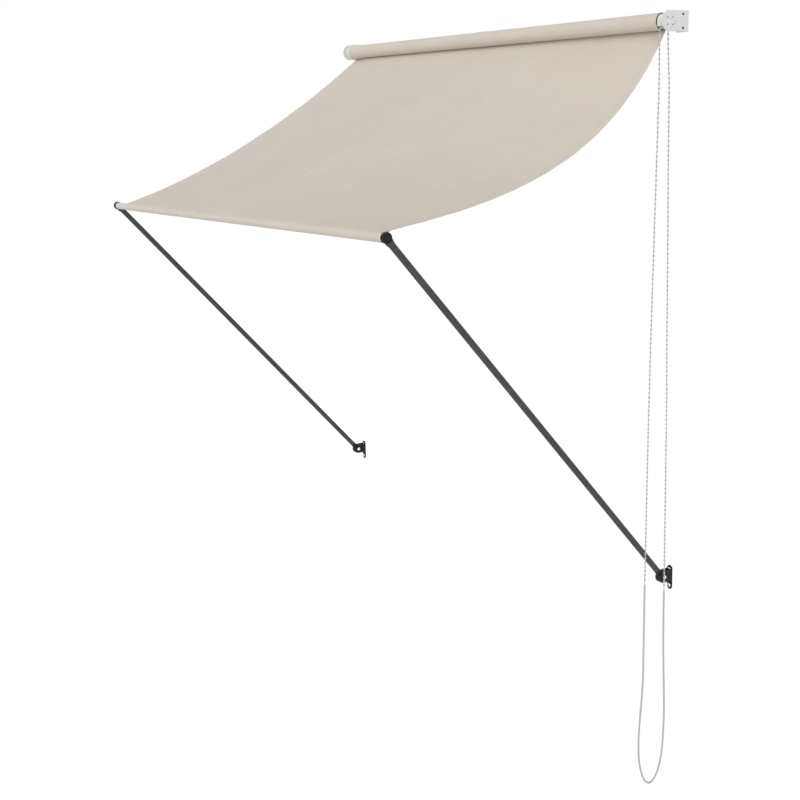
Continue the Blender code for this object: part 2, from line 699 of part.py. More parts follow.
def arm(side, pivot):
    """One arm, along +Z from its wall pivot: cast foot, tube and cast head."""
    tube_start = FOOT_NECK + GAP
    tube_end = ARM_LENGTH - HEAD_NECK - GAP
    inside = ARM_TUBE_RADIUS - ARM_TUBE_WALL
    turned_object(
        "arm_tube_" + side, ring_profile(tube_start, tube_end, inside, ARM_TUBE_RADIUS), "Z",
        "anthracite_steel", (0, 0, 0), pivot
    )
    half = FOOT_THICKNESS / 2
    bore = PIVOT_BOLT_RADIUS + FIT
    edge = 0.0012
    hub = [
        (-half, bore),
        (-half, FOOT_RADIUS - edge),
        (-half + edge, FOOT_RADIUS),
        (half - edge, FOOT_RADIUS),
        (half, FOOT_RADIUS - edge),
        (half, SPRING_POCKET_RADIUS),
        (half - SPRING_POCKET_DEPTH, SPRING_POCKET_RADIUS),
        (half - SPRING_POCKET_DEPTH, bore),
    ]
    foot = turned_object("arm_foot_" + side, hub, "X", "anthracite_cast", (0, 0, 0), pivot)
    spigot = inside - FIT
    clear = EAR_RADIUS + 2 * GAP
    sections = [
        neck_section(SPRING_POCKET_RADIUS + 0.002, half - GAP, ARM_TUBE_RADIUS + 0.0020),
        neck_section(clear, half - GAP, ARM_TUBE_RADIUS + 0.0007),
        neck_section(clear + 0.006, ARM_TUBE_RADIUS, ARM_TUBE_RADIUS + 0.0004),
        neck_section(FOOT_NECK - 0.003, ARM_TUBE_RADIUS + 0.0003, ARM_TUBE_RADIUS + 0.0003),
        neck_section(FOOT_NECK, ARM_TUBE_RADIUS, ARM_TUBE_RADIUS),
        neck_section(FOOT_NECK, spigot, spigot),
        neck_section(FOOT_NECK + SPIGOT_LENGTH, spigot, spigot),
    ]
    neck = add_object("arm_foot_%s_neck" % side, lofted(bmesh.new(), sections), None, pivot)
    combine(foot, neck, "UNION")
    top = ARM_LENGTH
    half = HEAD_THICKNESS / 2
    bore = BAR_BOLT_RADIUS + FIT
    hub = [
        (-half, bore),
        (-half, HEAD_RADIUS - edge),
        (-half + edge, HEAD_RADIUS),
        (half - edge, HEAD_RADIUS),
        (half, HEAD_RADIUS - edge),
        (half, bore),
    ]
    head = turned_object("arm_head_" + side, hub, "X", "anthracite_cast", (0, 0, top), pivot)
    neck_end = top - HEAD_NECK
    sections = [
        neck_section(top - bore - 0.002, half - GAP, HEAD_RADIUS - 0.002),
        neck_section(top - HEAD_RADIUS, half - GAP, HEAD_RADIUS - 0.0015),
        neck_section(top - HEAD_RADIUS - 0.008, ARM_TUBE_RADIUS, ARM_TUBE_RADIUS + 0.0010),
        neck_section(neck_end + 0.003, ARM_TUBE_RADIUS + 0.0003, ARM_TUBE_RADIUS + 0.0003),
        neck_section(neck_end, ARM_TUBE_RADIUS, ARM_TUBE_RADIUS),
        neck_section(neck_end, spigot, spigot),
        neck_section(neck_end - SPIGOT_LENGTH, spigot, spigot),
    ]
    neck = add_object("arm_head_%s_neck" % side, lofted(bmesh.new(), sections), None, pivot)
    combine(head, neck, "UNION")


def wall_pivot(side, x):
    """The wall bracket of one arm with its two ears, bolt, nut, torsion spring and wall screws."""
    node = "arm_bracket_" + side
    half_width = EAR_OUTER
    middle = PIVOT_Z - WALL_PLATE_DROP
    straight = WALL_PLATE_HEIGHT / 2 - half_width
    outline = circle_points((x, middle + straight), half_width, 12, 0.0, math.pi)
    outline += circle_points((x, middle - straight), half_width, 12, math.pi, math.pi)
    holes = []
    for end in (-1, 1):
        holes.append(circle_points((x, middle + end * WALL_HOLE_SPACING / 2), WALL_HOLE_RADIUS))
    plate = sheet_metal(
        bmesh.new(), outline, holes, lambda a, z: Vector((a, 0.0, z)), (0, -1, 0),
        WALL_PLATE_THICKNESS
    )
    bracket = add_object(node, plate, "anthracite_cast", smooth=False)
    for name, ear_x in (("inner", x - EAR_OUTER), ("outer", x + EAR_INNER)):
        ear = [(-WALL_PLATE_THICKNESS / 2, PIVOT_Z - EAR_RADIUS)]
        ear += [(-WALL_PLATE_THICKNESS / 2, PIVOT_Z + EAR_RADIUS)]
        ear += circle_points((PIVOT_Y, PIVOT_Z), EAR_RADIUS, 16, math.pi / 2, math.pi)
        bore = circle_points((PIVOT_Y, PIVOT_Z), PIVOT_BOLT_RADIUS + FIT)
        solid = sheet_metal(
            bmesh.new(), ear, [bore], lambda y, z, ear_x=ear_x: Vector((ear_x, y, z)),
            (1, 0, 0), EAR_THICKNESS
        )
        combine(bracket, add_object("%s_%s_ear" % (node, name), solid, None, smooth=False), "UNION")
    centre = Vector((x, PIVOT_Y, PIVOT_Z))
    face = EAR_OUTER + GAP
    tail = face + NUT_HEIGHT + BOLT_TAIL
    bolt = [
        (-tail, 0.0),
        (-tail, PIVOT_BOLT_RADIUS),
        (face, PIVOT_BOLT_RADIUS),
        (face, PIVOT_HEAD_RADIUS),
        (face + PIVOT_HEAD_HEIGHT * 0.6, PIVOT_HEAD_RADIUS),
        (face + PIVOT_HEAD_HEIGHT, PIVOT_HEAD_RADIUS * 0.7),
        (face + PIVOT_HEAD_HEIGHT, 0.0),
    ]
    turned_object("pivot_bolt_" + side, bolt, "X", "zinc", centre)
    hexagon = circle_points((PIVOT_Y, PIVOT_Z), NUT_RADIUS, 6)
    bore = circle_points((PIVOT_Y, PIVOT_Z), PIVOT_BOLT_RADIUS + FIT)
    nut = sheet_metal(
        bmesh.new(), hexagon, [bore], lambda y, z: Vector((x - face, y, z)), (-1, 0, 0), NUT_HEIGHT
    )
    add_object("pivot_nut_" + side, nut, "zinc", smooth=False)
    coil_start = FOOT_THICKNESS / 2 - SPRING_WIRE
    room = SPRING_POCKET_DEPTH - 2 * SPRING_WIRE - GAP
    coil_object(
        "arm_spring_" + side, SPRING_MEAN_RADIUS, SPRING_WIRE, SPRING_TURNS, coil_start,
        room / SPRING_TURNS, "spring_steel", centre
    )
    for name, end in (("upper", 1), ("lower", -1)):
        place = (x, -WALL_PLATE_THICKNESS, middle + end * WALL_HOLE_SPACING / 2)
        wall_screw("arm_screw_%s_%s" % (side, name), place, WALL_PLATE_THICKNESS)


def wall_screw(node, place, plate):
    """A pan-head screw against a plate's front; its thread is shown down to the wall."""
    head = -GAP
    profile = [
        (plate - GAP, 0.0),
        (plate - GAP, SCREW_SHANK_RADIUS),
        (head, SCREW_SHANK_RADIUS),
        (head, SCREW_HEAD_RADIUS),
        (head - SCREW_HEAD_HEIGHT * 0.55, SCREW_HEAD_RADIUS * 0.94),
        (head - SCREW_HEAD_HEIGHT, SCREW_HEAD_RADIUS * 0.55),
        (head - SCREW_HEAD_HEIGHT, 0.0),
    ]
    turned_object(node, profile, "Y", "zinc", place, None, SMALL_ROUND)


def roller_screws():
    for side, outer, inward in (("drive", PLATE_OUTER, -1), ("idle", IDLE_OUTER, 1)):
        x = outer + inward * FLANGE_WIDTH / 2
        for name, end in (("upper", 1), ("lower", -1)):
            place = (x, -BRACKET_PLATE, end * FLANGE_SLOT_SPACING / 2)
            wall_screw("%s_screw_%s" % (side, name), place, BRACKET_PLATE)


def smooth_route(points, count):
    """Read evenly spaced points from a Catmull-Rom curve through the route's own points."""
    padded = [points[0] * 2 - points[1]] + points + [points[-1] * 2 - points[-2]]
    fine = []
    for a, b, c, d in zip(padded, padded[1:], padded[2:], padded[3:]):
        for k in range(24):
            t = k / 24
            fine.append((
                2 * b + (c - a) * t + (2 * a - 5 * b + 4 * c - d) * t * t
                + (3 * b - a - 3 * c + d) * t ** 3
            ) / 2)
    fine.append(points[-1])
    lengths = [0.0]
    for before, after in zip(fine, fine[1:]):
        lengths.append(lengths[-1] + (after - before).length)
    even = []
    k = 0
    for i in range(count):
        target = lengths[-1] * i / (count - 1)
        while k < len(lengths) - 2 and lengths[k + 1] < target:
            k += 1
        share = (target - lengths[k]) / (lengths[k + 1] - lengths[k])
        even.append(fine[k].lerp(fine[k + 1], share))
    return even


def chain_loop():
    """The operating chain's cord: half round the chain wheel, then down and back as a free loop."""
    hanging = [Vector((x, y, z)) for y, z, x in CHAIN_ROUTE]
    wheel_steps = 5
    front, back = [], []
    gap_angle = GAP / CHAIN_PITCH_RADIUS
    for k in range(wheel_steps):
        angle = math.pi / 2 + gap_angle + (math.pi / 2 - gap_angle) * k / (wheel_steps - 1)
        on_wheel = Vector((0, math.cos(angle), math.sin(angle))) * CHAIN_PITCH_RADIUS
        mirrored = Vector((0, -on_wheel.y, on_wheel.z))
        front.append(ROLLER + on_wheel + Vector((CHAIN_PLANE, 0, 0)))
        back.append(ROLLER + mirrored + Vector((CHAIN_PLANE, 0, 0)))
    route = front + hanging + list(reversed(back))
    points = front + smooth_route([front[-1]] + hanging + [back[-1]], CHAIN_POINTS)[1:-1]
    points += list(reversed(back))
    assert len(route) < len(points)
    curve = bpy.data.curves.new("chain_loop", "CURVE")
    curve.dimensions = "3D"
    curve.bevel_depth = CHAIN_CORD_RADIUS
    curve.bevel_resolution = 2
    curve.use_fill_caps = True
    spline = curve.splines.new("POLY")
    spline.points.add(len(points) - 1)
    for place, point in zip(points, spline.points):
        point.co = (*place, 1.0)
    curve.materials.append(finish("chain_loop", "grey_chain"))
    obj = bpy.data.objects.new("chain_loop", curve)
    bpy.context.collection.objects.link(obj)


def main():
    clear_scene()
    roller = add_pivot("roller_axis", ROLLER)
    bar = add_pivot("bar_axis", HEAD_RIGHT, along=HEAD_RIGHT - HEAD_LEFT)
    right = add_pivot("right_arm_axis", (ARM_RIGHT_X, PIVOT_Y, PIVOT_Z), ARM_ANGLE_RIGHT)
    left = add_pivot("left_arm_axis", (ARM_LEFT_X, PIVOT_Y, PIVOT_Z), ARM_ANGLE_LEFT)
    roller_bracket("drive_bracket", PLATE_OUTER, -1, True)
    roller_bracket("idle_bracket", IDLE_OUTER, 1, False)
    drive_housing()
    chain_drive(roller)
    idle_end(roller)
    roller_and_roll(roller)
    canvas_sheet()
    front_bar(bar)
    arm("right", right)
    arm("left", left)
    wall_pivot("right", ARM_RIGHT_X)
    wall_pivot("left", ARM_LEFT_X)
    roller_screws()
    chain_loop()


main()
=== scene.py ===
"""Looks of a drop-arm canvas awning: its cloth, chain, castings, fasteners, finishes and stage."""

import json
import math

import bmesh
import bpy
from mathutils import Matrix, Vector, noise


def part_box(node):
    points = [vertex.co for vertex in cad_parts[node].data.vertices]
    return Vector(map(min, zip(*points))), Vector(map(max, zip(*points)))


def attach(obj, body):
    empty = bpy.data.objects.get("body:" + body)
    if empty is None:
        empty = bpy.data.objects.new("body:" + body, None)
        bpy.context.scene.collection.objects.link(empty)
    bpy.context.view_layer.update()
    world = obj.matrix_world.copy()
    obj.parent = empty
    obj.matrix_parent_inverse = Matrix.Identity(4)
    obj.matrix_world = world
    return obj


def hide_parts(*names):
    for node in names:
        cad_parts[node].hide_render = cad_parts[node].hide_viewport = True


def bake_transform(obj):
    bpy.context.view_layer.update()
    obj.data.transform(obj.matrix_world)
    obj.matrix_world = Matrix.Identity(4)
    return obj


bl_info = {
    "name": "Drop-Arm Canvas Awning",
    "version": (1, 0, 0),
    "blender": (4, 5, 0),
    "location": "View3D > Sidebar > Awning",
    "description": "Dresses the awning's frame with cloth, chain, castings, fasteners and finishes",
    "category": "Object",
}

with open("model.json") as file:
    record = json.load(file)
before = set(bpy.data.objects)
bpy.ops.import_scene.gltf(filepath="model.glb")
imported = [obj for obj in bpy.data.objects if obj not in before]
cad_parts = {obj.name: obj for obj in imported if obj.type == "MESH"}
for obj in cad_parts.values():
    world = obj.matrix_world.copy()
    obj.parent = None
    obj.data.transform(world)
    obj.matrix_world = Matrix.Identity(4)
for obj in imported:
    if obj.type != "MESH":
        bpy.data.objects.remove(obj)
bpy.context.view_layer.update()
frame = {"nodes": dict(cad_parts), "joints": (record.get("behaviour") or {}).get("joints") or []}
JOINTS = {joint["name"]: joint for joint in frame["joints"]}

# Places on the frame, metres
ROLLER = Vector((0.0, *JOINTS["roller_spin"]["pos_m"][1:]))
HEAD_RIGHT = Vector(JOINTS["bar_pivot"]["pos_m"])
BAR_AXIS = Vector(JOINTS["bar_pivot"]["axis"]).normalized()
PIVOT_RIGHT = Vector(JOINTS["right_arm_swing"]["pos_m"])
PIVOT_LEFT = Vector(JOINTS["left_arm_swing"]["pos_m"])
HEAD_LEFT = HEAD_RIGHT - BAR_AXIS * ((PIVOT_RIGHT.x - PIVOT_LEFT.x) / BAR_AXIS.x)
CHAIN_PLANE = (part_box("chain_wheel")[1].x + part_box("drive_plug")[1].x + 0.0006) / 2
CHAIN_WHEEL_RADIUS = 0.0143

# The chain's way: standoff from the wall, height and X, down its front and up its back
CHAIN_ROUTE = [
    (-0.0825, -0.060, 0.0005), (-0.0850, -0.110, 0.0030), (-0.0875, -0.160, 0.0058),
    (-0.0930, -0.350, 0.0073), (-0.1000, -0.600, 0.0083), (-0.1060, -0.830, 0.0090),
    (-0.1110, -1.080, 0.0099), (-0.1142, -1.300, 0.0108), (-0.1165, -1.520, 0.0110),
    (-0.1170, -1.680, 0.0110), (-0.1185, -1.800, 0.0110), (-0.1265, -1.895, 0.0110),
    (-0.1310, -1.965, 0.0110), (-0.1270, -2.035, 0.0110), (-0.1080, -2.092, 0.0110),
    (-0.0818, -2.112, 0.0110), (-0.0545, -2.085, 0.0110), (-0.0375, -2.020, 0.0110),
    (-0.0325, -1.930, 0.0110), (-0.0335, -1.860, 0.0110), (-0.0385, -1.740, 0.0110),
    (-0.0408, -1.640, 0.0110), (-0.0415, -1.480, 0.0110), (-0.0423, -1.250, 0.0107),
    (-0.0430, -1.000, 0.0096), (-0.0455, -0.830, 0.0090), (-0.0480, -0.560, 0.0080),
    (-0.0505, -0.330, 0.0070), (-0.0510, -0.160, 0.0058), (-0.0512, -0.110, 0.0030),
    (-0.0514, -0.060, 0.0005),
]

# Points between two points of the chain's way, and the distance of those that are kept
ROUTE_STEPS = 24
CHAIN_STEP = 0.012

# The cloth: its gap to what it lies on, the rows of its mesh, its flat size, and its roll's
# bore, length of cloth in one turn and half width of the thicker part over the seam
CLOTH_GAP = 0.0003
CLOTH_ROWS = 72
WRAP_ROWS = 24
ROLL_BORE = 0.0193
ROLL_TURN = 0.14
SEAM_SPREAD = 0.045

# The drive plate's marks: their places (Y, Z), and their cups' sizes along X, Y and Z. The black cups in the
# wall holes and peg holes are painted shade inside the holes.
MARK_LIFT = 0.0002
WALL_HOLES = [(-0.0196, -0.0173), (-0.0196, 0.0173)]
WALL_HOLE_SHADE_CUP = (0.0024, 0.0034, 0.0034)
PEG_CIRCLE = 0.013
PEG_SHADE_CUP = (0.0005, 0.0013, 0.0013)
MOULD_MARKS = [(-0.0470, -0.0004), (-0.0495, -0.0065)]
MOULD_MARK_CUP = (0.0005, 0.0014, 0.0014)

# The black cups in the sockets of the wall screws' heads, painted shade in the recesses, and the arm head's
# face from the arm's middle plane
SOCKET_SHADE_CUP = (0.0026, 0.0016, 0.0026)
HEAD_FACE = 0.0063

# The floor's white for the camera, and where the two lamps shine
FLOOR_WHITE = 1.08
FLOOR_WHITE_SHARE = 0.85
KEY_TOWARDS = (-0.62, 0.74, -0.42)
FILL_TOWARDS = (-0.30, 0.80, 0.50)


def length(name, text, default):
    return bpy.props.FloatProperty(name=name, description=text, default=default, unit="LENGTH", precision=4)


def number(name, text, default):
    return bpy.props.FloatProperty(name=name, description=text, default=default)


def tone(name, text, default):
    return bpy.props.FloatVectorProperty(
        name=name, description=text, default=default, size=3, subtype="COLOR", min=0.0, max=1.0
    )


class AwningCloth(bpy.types.PropertyGroup):
    """Sizes of the canvas."""

    width: length("Width", "Width of the canvas at the roller", 1.496)
    right: length("Right edge", "X of the canvas's right edge at the roller", -0.009)
    thickness: length("Thickness", "Thickness of one layer of canvas", 0.0008)
    sag_left: length("Sag left", "Sag of the left edge under its chord", 0.046)
    sag_seam: length("Sag seam", "Sag of the middle seam under its chord", 0.028)
    sag_right: length("Sag right", "Sag of the right edge under its chord", 0.128)
    skew_left: number("Skew left", "Shift of the left sag towards the bar", 0.12)
    skew_seam: number("Skew seam", "Shift of the seam's sag towards the bar", 0.0)
    skew_right: number("Skew right", "Shift of the right sag towards the bar", -0.28)
    flare_left: length("Flare left", "How far the left edge runs out towards the bar", 0.0328)
    taper_right: length("Taper right", "How far the right edge runs in towards the bar", 0.0125)
    hem_neck: length("Hem neck", "From the bar's crown to the hem's seam", 0.022)
    hem_flap: length("Hem flap", "Width of cloth under the hem's seam", 0.020)
    side_hem: length("Side hem", "Width of the folded side hems", 0.014)
    seam_overlap: length("Seam overlap", "Overlap of the two widths of canvas", 0.014)
    roll_right: length("Roll right", "Radius of the rolled canvas at its right end", 0.0220)
    roll_left: length("Roll left", "Radius of the rolled canvas towards its left end", 0.0222)
    roll_flare: length("Roll flare", "Extra radius where the left hem is rolled up", 0.0031)
    flare_length: length("Flare length", "How far the roll flares from its left end", 0.110)
    roll_seam: length("Roll seam", "Extra radius where the seam is rolled up", 0.0010)
    bar_radius: length("Bar radius", "Radius of the front bar", 0.0106)
    stitch_pitch: length("Stitch pitch", "Distance from stitch to stitch", 0.0045)
    stitch_length: length("Stitch length", "Length of one stitch", 0.0031)
    thread: length("Thread", "Thickness of the sewing thread", 0.0006)


class AwningChain(bpy.types.PropertyGroup):
    """Sizes of the operating chain."""

    cord: length("Cord", "Diameter of the chain's cord", 0.0023)
    bead: length("Bead", "Diameter of a bead", 0.0059)
    pitch: length("Pitch", "Distance from bead to bead", 0.0122)
    sleeve: length("Sleeve", "Diameter of the smooth lower part of the cord", 0.0052)
    front_end: length("Front end", "Height of the lowest bead of the front strand", -1.490)
    back_end: length("Back end", "Height of the lowest bead of the back strand", -1.528)
    measure: length("Length", "Length of the whole loop", 4.33)


class AwningFinishes(bpy.types.PropertyGroup):
    """Colours of the finishes."""

    canvas: tone("Canvas", "Woven canvas", (0.640, 0.585, 0.515))
    thread: tone("Thread", "Sewing thread", (0.56, 0.51, 0.44))
    white_steel: tone("White steel", "Satin paint on the roller brackets", (0.70, 0.70, 0.70))
    white_plastic: tone("White plastic", "Moulded white plastic", (0.72, 0.72, 0.71))
    # Black plastic, also used as painted shade inside holes and screw sockets
    black_plastic: tone("Black plastic", "Moulded black plastic", (0.014, 0.014, 0.014))
    zinc: tone("Zinc", "Zinc plating of bolts and screws", (0.78, 0.78, 0.76))
    spring: tone("Spring steel", "Oiled spring wire", (0.30, 0.30, 0.30))
    aluminium: tone("Aluminium", "Mill-finish roller tube", (0.72, 0.72, 0.71))
    bar_paint: tone("Bar paint", "Light grey paint of the front bar", (0.60, 0.59, 0.56))
    casting: tone("Casting", "Powder coat on feet and wall brackets", (0.017, 0.017, 0.0165))
    arm_tube: tone("Arm tube", "Powder coat on the arm tubes and heads", (0.070, 0.071, 0.066))
    chain: tone("Chain", "Plastic beads and their cord", (0.47, 0.47, 0.46))


class AwningStage(bpy.types.PropertyGroup):
    """Camera, floor and light."""

    camera: bpy.props.FloatVectorProperty(
        name="Camera", description="Place of the camera", default=(2.2159, -2.3552, -0.1992),
        subtype="TRANSLATION"
    )
    heading: number("Heading", "Degrees that the camera looks left of straight ahead", 56.60)
    dip: number("Dip", "Degrees that the camera looks down", 11.05)
    tilt: number("Tilt", "Degrees that the picture is turned", -1.46)
    lens: number("Lens", "Focal length in millimetres", 53.46)
    shift: number("Shift", "Vertical shift of the lens", -0.0750)
    floor: length("Floor", "Height of the floor", -2.40)
    room_light: number("Room light", "Strength of the even light from all sides", 0.58)
    key_light: number("Key light", "Strength of the broad light from the front", 1.75)
    fill_light: number("Fill light", "Strength of the weak light from the front and below", 0.60)
    key_spread: bpy.props.FloatProperty(
        name="Key spread", description="How broad the front light is", default=math.radians(70.0),
        subtype="ANGLE"
    )


GROUPS = {
    "awning_cloth": AwningCloth,
    "awning_chain": AwningChain,
    "awning_finishes": AwningFinishes,
    "awning_stage": AwningStage,
}


# Finishes


def add_node(tree, kind, inputs=(), **settings):
    """Add a node to a tree; each input is a value or another node's output."""
    node = tree.nodes.new(kind)
    for name, value in settings.items():
        setattr(node, name, value)
    for name, value in dict(inputs).items():
        if isinstance(value, bpy.types.NodeSocket):
            tree.links.new(value, node.inputs[name])
        else:
            node.inputs[name].default_value = value
    return node


class Recipe:
    """A material being put together from shader nodes."""

    def __init__(self, name, colour, roughness, metallic=0.0):
        self.material = bpy.data.materials.new(name)
        self.material.use_nodes = True
        self.tree = self.material.node_tree
        self.links = self.tree.links
        self.shader = self.tree.nodes["Principled BSDF"]
        self.shader.inputs["Base Color"].default_value = (*colour, 1.0)
        self.shader.inputs["Roughness"].default_value = roughness
        self.shader.inputs["Metallic"].default_value = metallic
        self.colour = colour
        self.heights = []

    def add(self, kind, inputs=(), **settings):
        return add_node(self.tree, kind, inputs, **settings)

    def place(self, scale=(1.0, 1.0, 1.0), source="Object"):
        where = self.add("ShaderNodeTexCoord").outputs[source]
        return self.add("ShaderNodeMapping", {"Vector": where, "Scale": scale}).outputs[0]

    def grain(self, scale, detail=3.0, where=None, roughness=0.5):
        where = where or self.place()
        made = self.add(
            "ShaderNodeTexNoise", {"Vector": where, "Scale": scale, "Detail": detail, "Roughness": roughness}
        )
        return made.outputs["Fac"]

    def spread(self, value, low, high, start=0.35, end=0.65):
        made = self.add("ShaderNodeMapRange", {
            "Value": value, "From Min": start, "From Max": end, "To Min": low, "To Max": high
        })
        return made.outputs["Result"]

    def sum(self, a, b, operation="ADD"):
        return self.add("ShaderNodeMath", {0: a, 1: b}, operation=operation).outputs[0]

    def vary_colour(self, value, dark, light, start=0.35, end=0.65):
        """Blend two tints of the base colour by a value from 0 to 1."""
        share = self.spread(value, 0.0, 1.0, start, end)
        previous = self.shader.inputs["Base Color"].links
        if previous:
            tint = self.add("ShaderNodeMix", {
                "Factor": share, "A": (dark, dark, dark, 1.0), "B": (light, light, light, 1.0),
            }, data_type="RGBA")
            blend = self.add("ShaderNodeMix", {
                "Factor": 1.0, "A": previous[0].from_socket, "B": tint.outputs["Result"],
            }, data_type="RGBA", blend_type="MULTIPLY")
        else:
            blend = self.add("ShaderNodeMix", {
                "Factor": share, "A": (*(min(1.0, c * dark) for c in self.colour), 1.0),
                "B": (*(min(1.0, c * light) for c in self.colour), 1.0),
            }, data_type="RGBA")
        self.links.new(blend.outputs["Result"], self.shader.inputs["Base Color"])

    def vary_roughness(self, value, low, high):
        self.links.new(self.spread(value, low, high), self.shader.inputs["Roughness"])

    def relief(self, height, strength, distance):
        """Add a bump on top of those already made."""
        bump = self.add("ShaderNodeBump", {"Height": height, "Strength": strength, "Distance": distance})
        if self.heights:
            self.links.new(self.heights[-1].outputs["Normal"], bump.inputs["Normal"])
        self.heights.append(bump)
        self.links.new(bump.outputs["Normal"], self.shader.inputs["Normal"])


def woven_canvas(name, colour):
    """Woven acrylic canvas on a UV map in metres: threads, slubs and faint cloudy shade."""
    recipe = Recipe(name, colour, 0.88)
    recipe.shader.inputs["Specular IOR Level"].default_value = 0.25
    recipe.shader.inputs["Sheen Weight"].default_value = 0.12
    recipe.shader.inputs["Sheen Roughness"].default_value = 0.5
    flat = recipe.place(source="UV")
    threads = []
    for direction in ("X", "Y"):
        band = recipe.add(
            "ShaderNodeTexWave", {"Vector": flat, "Scale": 350.0, "Distortion": 0.6, "Detail": 1.0},
            wave_type="BANDS", bands_direction=direction, wave_profile="SIN"
        )
        threads.append(band.outputs["Fac"])
    weave = recipe.sum(threads[0], threads[1], "MAXIMUM")
    warp = recipe.grain(1.0, 2.0, recipe.place((900.0, 26.0, 1.0), "UV"))
    weft = recipe.grain(1.0, 2.0, recipe.place((26.0, 900.0, 1.0), "UV"))
    slubs = recipe.sum(warp, weft, "ADD")
    recipe.vary_colour(slubs, 0.955, 1.045, 0.8, 1.2)
    recipe.vary_colour(recipe.grain(5.0, 4.0, flat), 0.985, 1.015)
    recipe.vary_colour(weave, 0.93, 1.0, 0.2, 0.9)
    recipe.vary_roughness(slubs, 0.82, 0.93)
    recipe.relief(weave, 0.35, 0.00025)
    recipe.relief(slubs, 0.25, 0.0003)
    recipe.relief(recipe.grain(38.0, 3.0, flat), 0.25, 0.0012)
    return recipe.material


def painted(name, colour, roughness, grain=1400.0, depth=0.00006, cloud=0.03, gloss=0.35):
    """Paint or powder coat: orange peel, faint clouding, and scuffs that change the gloss."""
    recipe = Recipe(name, colour, roughness)
    recipe.shader.inputs["Specular IOR Level"].default_value = gloss
    where = recipe.place()
    cloud_value = recipe.grain(16.0, 4.0, where)
    recipe.vary_colour(cloud_value, 1.0 - cloud, 1.0 + cloud)
    scuffs = recipe.grain(1.0, 5.0, recipe.place((60.0, 60.0, 220.0)), 0.6)
    recipe.vary_roughness(scuffs, roughness * 0.85, min(1.0, roughness * 1.25))
    recipe.relief(recipe.grain(grain, 2.0, where), 0.35, depth)
    recipe.relief(recipe.grain(260.0, 2.0, where), 0.12, depth * 3)
    return recipe.material


def cast_and_coated(name, colour):
    """A powder-coated die casting: sandy grain, softly mottled, rubbed brighter here and there."""
    recipe = Recipe(name, colour, 0.5)
    recipe.shader.inputs["Specular IOR Level"].default_value = 0.14
    where = recipe.place()
    recipe.vary_colour(recipe.grain(90.0, 5.0, where), 0.75, 1.35)
    recipe.vary_colour(recipe.grain(700.0, 3.0, where), 0.85, 1.15)
    recipe.vary_roughness(recipe.grain(140.0, 4.0, where), 0.38, 0.58)
    recipe.relief(recipe.grain(800.0, 4.0, where, 0.65), 0.5, 0.00014)
    recipe.relief(recipe.grain(170.0, 2.0, where), 0.2, 0.0004)
    return recipe.material


def moulded(name, colour, roughness, gloss=0.5):
    """Injection-moulded plastic with a fine spark-eroded grain."""
    recipe = Recipe(name, colour, roughness)
    recipe.shader.inputs["Specular IOR Level"].default_value = gloss
    where = recipe.place()
    pits = recipe.add("ShaderNodeTexVoronoi", {"Vector": where, "Scale": 2200.0})
    recipe.vary_colour(recipe.grain(30.0, 3.0, where), 0.97, 1.03)
    recipe.vary_roughness(recipe.grain(120.0, 4.0, where), roughness * 0.85, roughness * 1.2)
    recipe.relief(pits.outputs["Distance"], 0.25, 0.00005)
    return recipe.material


def plated(name, colour, roughness, scale=420.0):
    """Zinc plating or oiled steel: small spangles and fine drawn marks."""
    recipe = Recipe(name, colour, roughness, 1.0)
    where = recipe.place()
    spangle = recipe.add("ShaderNodeTexVoronoi", {"Vector": where, "Scale": scale}, feature="F1")
    flakes = recipe.add("ShaderNodeSeparateColor", {"Color": spangle.outputs["Color"]}).outputs[0]
    recipe.vary_colour(flakes, 0.86, 1.1, 0.0, 1.0)
    recipe.vary_roughness(recipe.grain(500.0, 4.0, where), roughness * 0.75, roughness * 1.4)
    recipe.relief(recipe.grain(1800.0, 3.0, where), 0.2, 0.00004)
    return recipe.material


def drawn_aluminium(name, colour):
    """Mill-finish tube with the long fine marks that drawing leaves."""
    recipe = Recipe(name, colour, 0.34, 1.0)
    marks = recipe.grain(1.0, 4.0, recipe.place((3.0, 900.0, 900.0)))
    recipe.vary_colour(marks, 0.9, 1.06)
    recipe.vary_roughness(marks, 0.26, 0.44)
    recipe.relief(marks, 0.2, 0.00005)
    return recipe.material


def twisted_cord(name, colour):
    """The cord's fine twisted fibres, wound round its length."""
    recipe = Recipe(name, colour, 0.6)
    where = recipe.place()
    strands = recipe.add(
        "ShaderNodeTexWave", {"Vector": where, "Scale": 190.0, "Distortion": 1.5, "Detail": 2.0},
        wave_type="BANDS", bands_direction="DIAGONAL", wave_profile="SIN"
    ).outputs["Fac"]
    recipe.vary_colour(strands, 0.82, 1.08, 0.1, 0.9)
    recipe.vary_roughness(recipe.grain(600.0, 3.0, where), 0.5, 0.72)
    recipe.relief(strands, 0.5, 0.0003)
    return recipe.material


FINISHES = {}


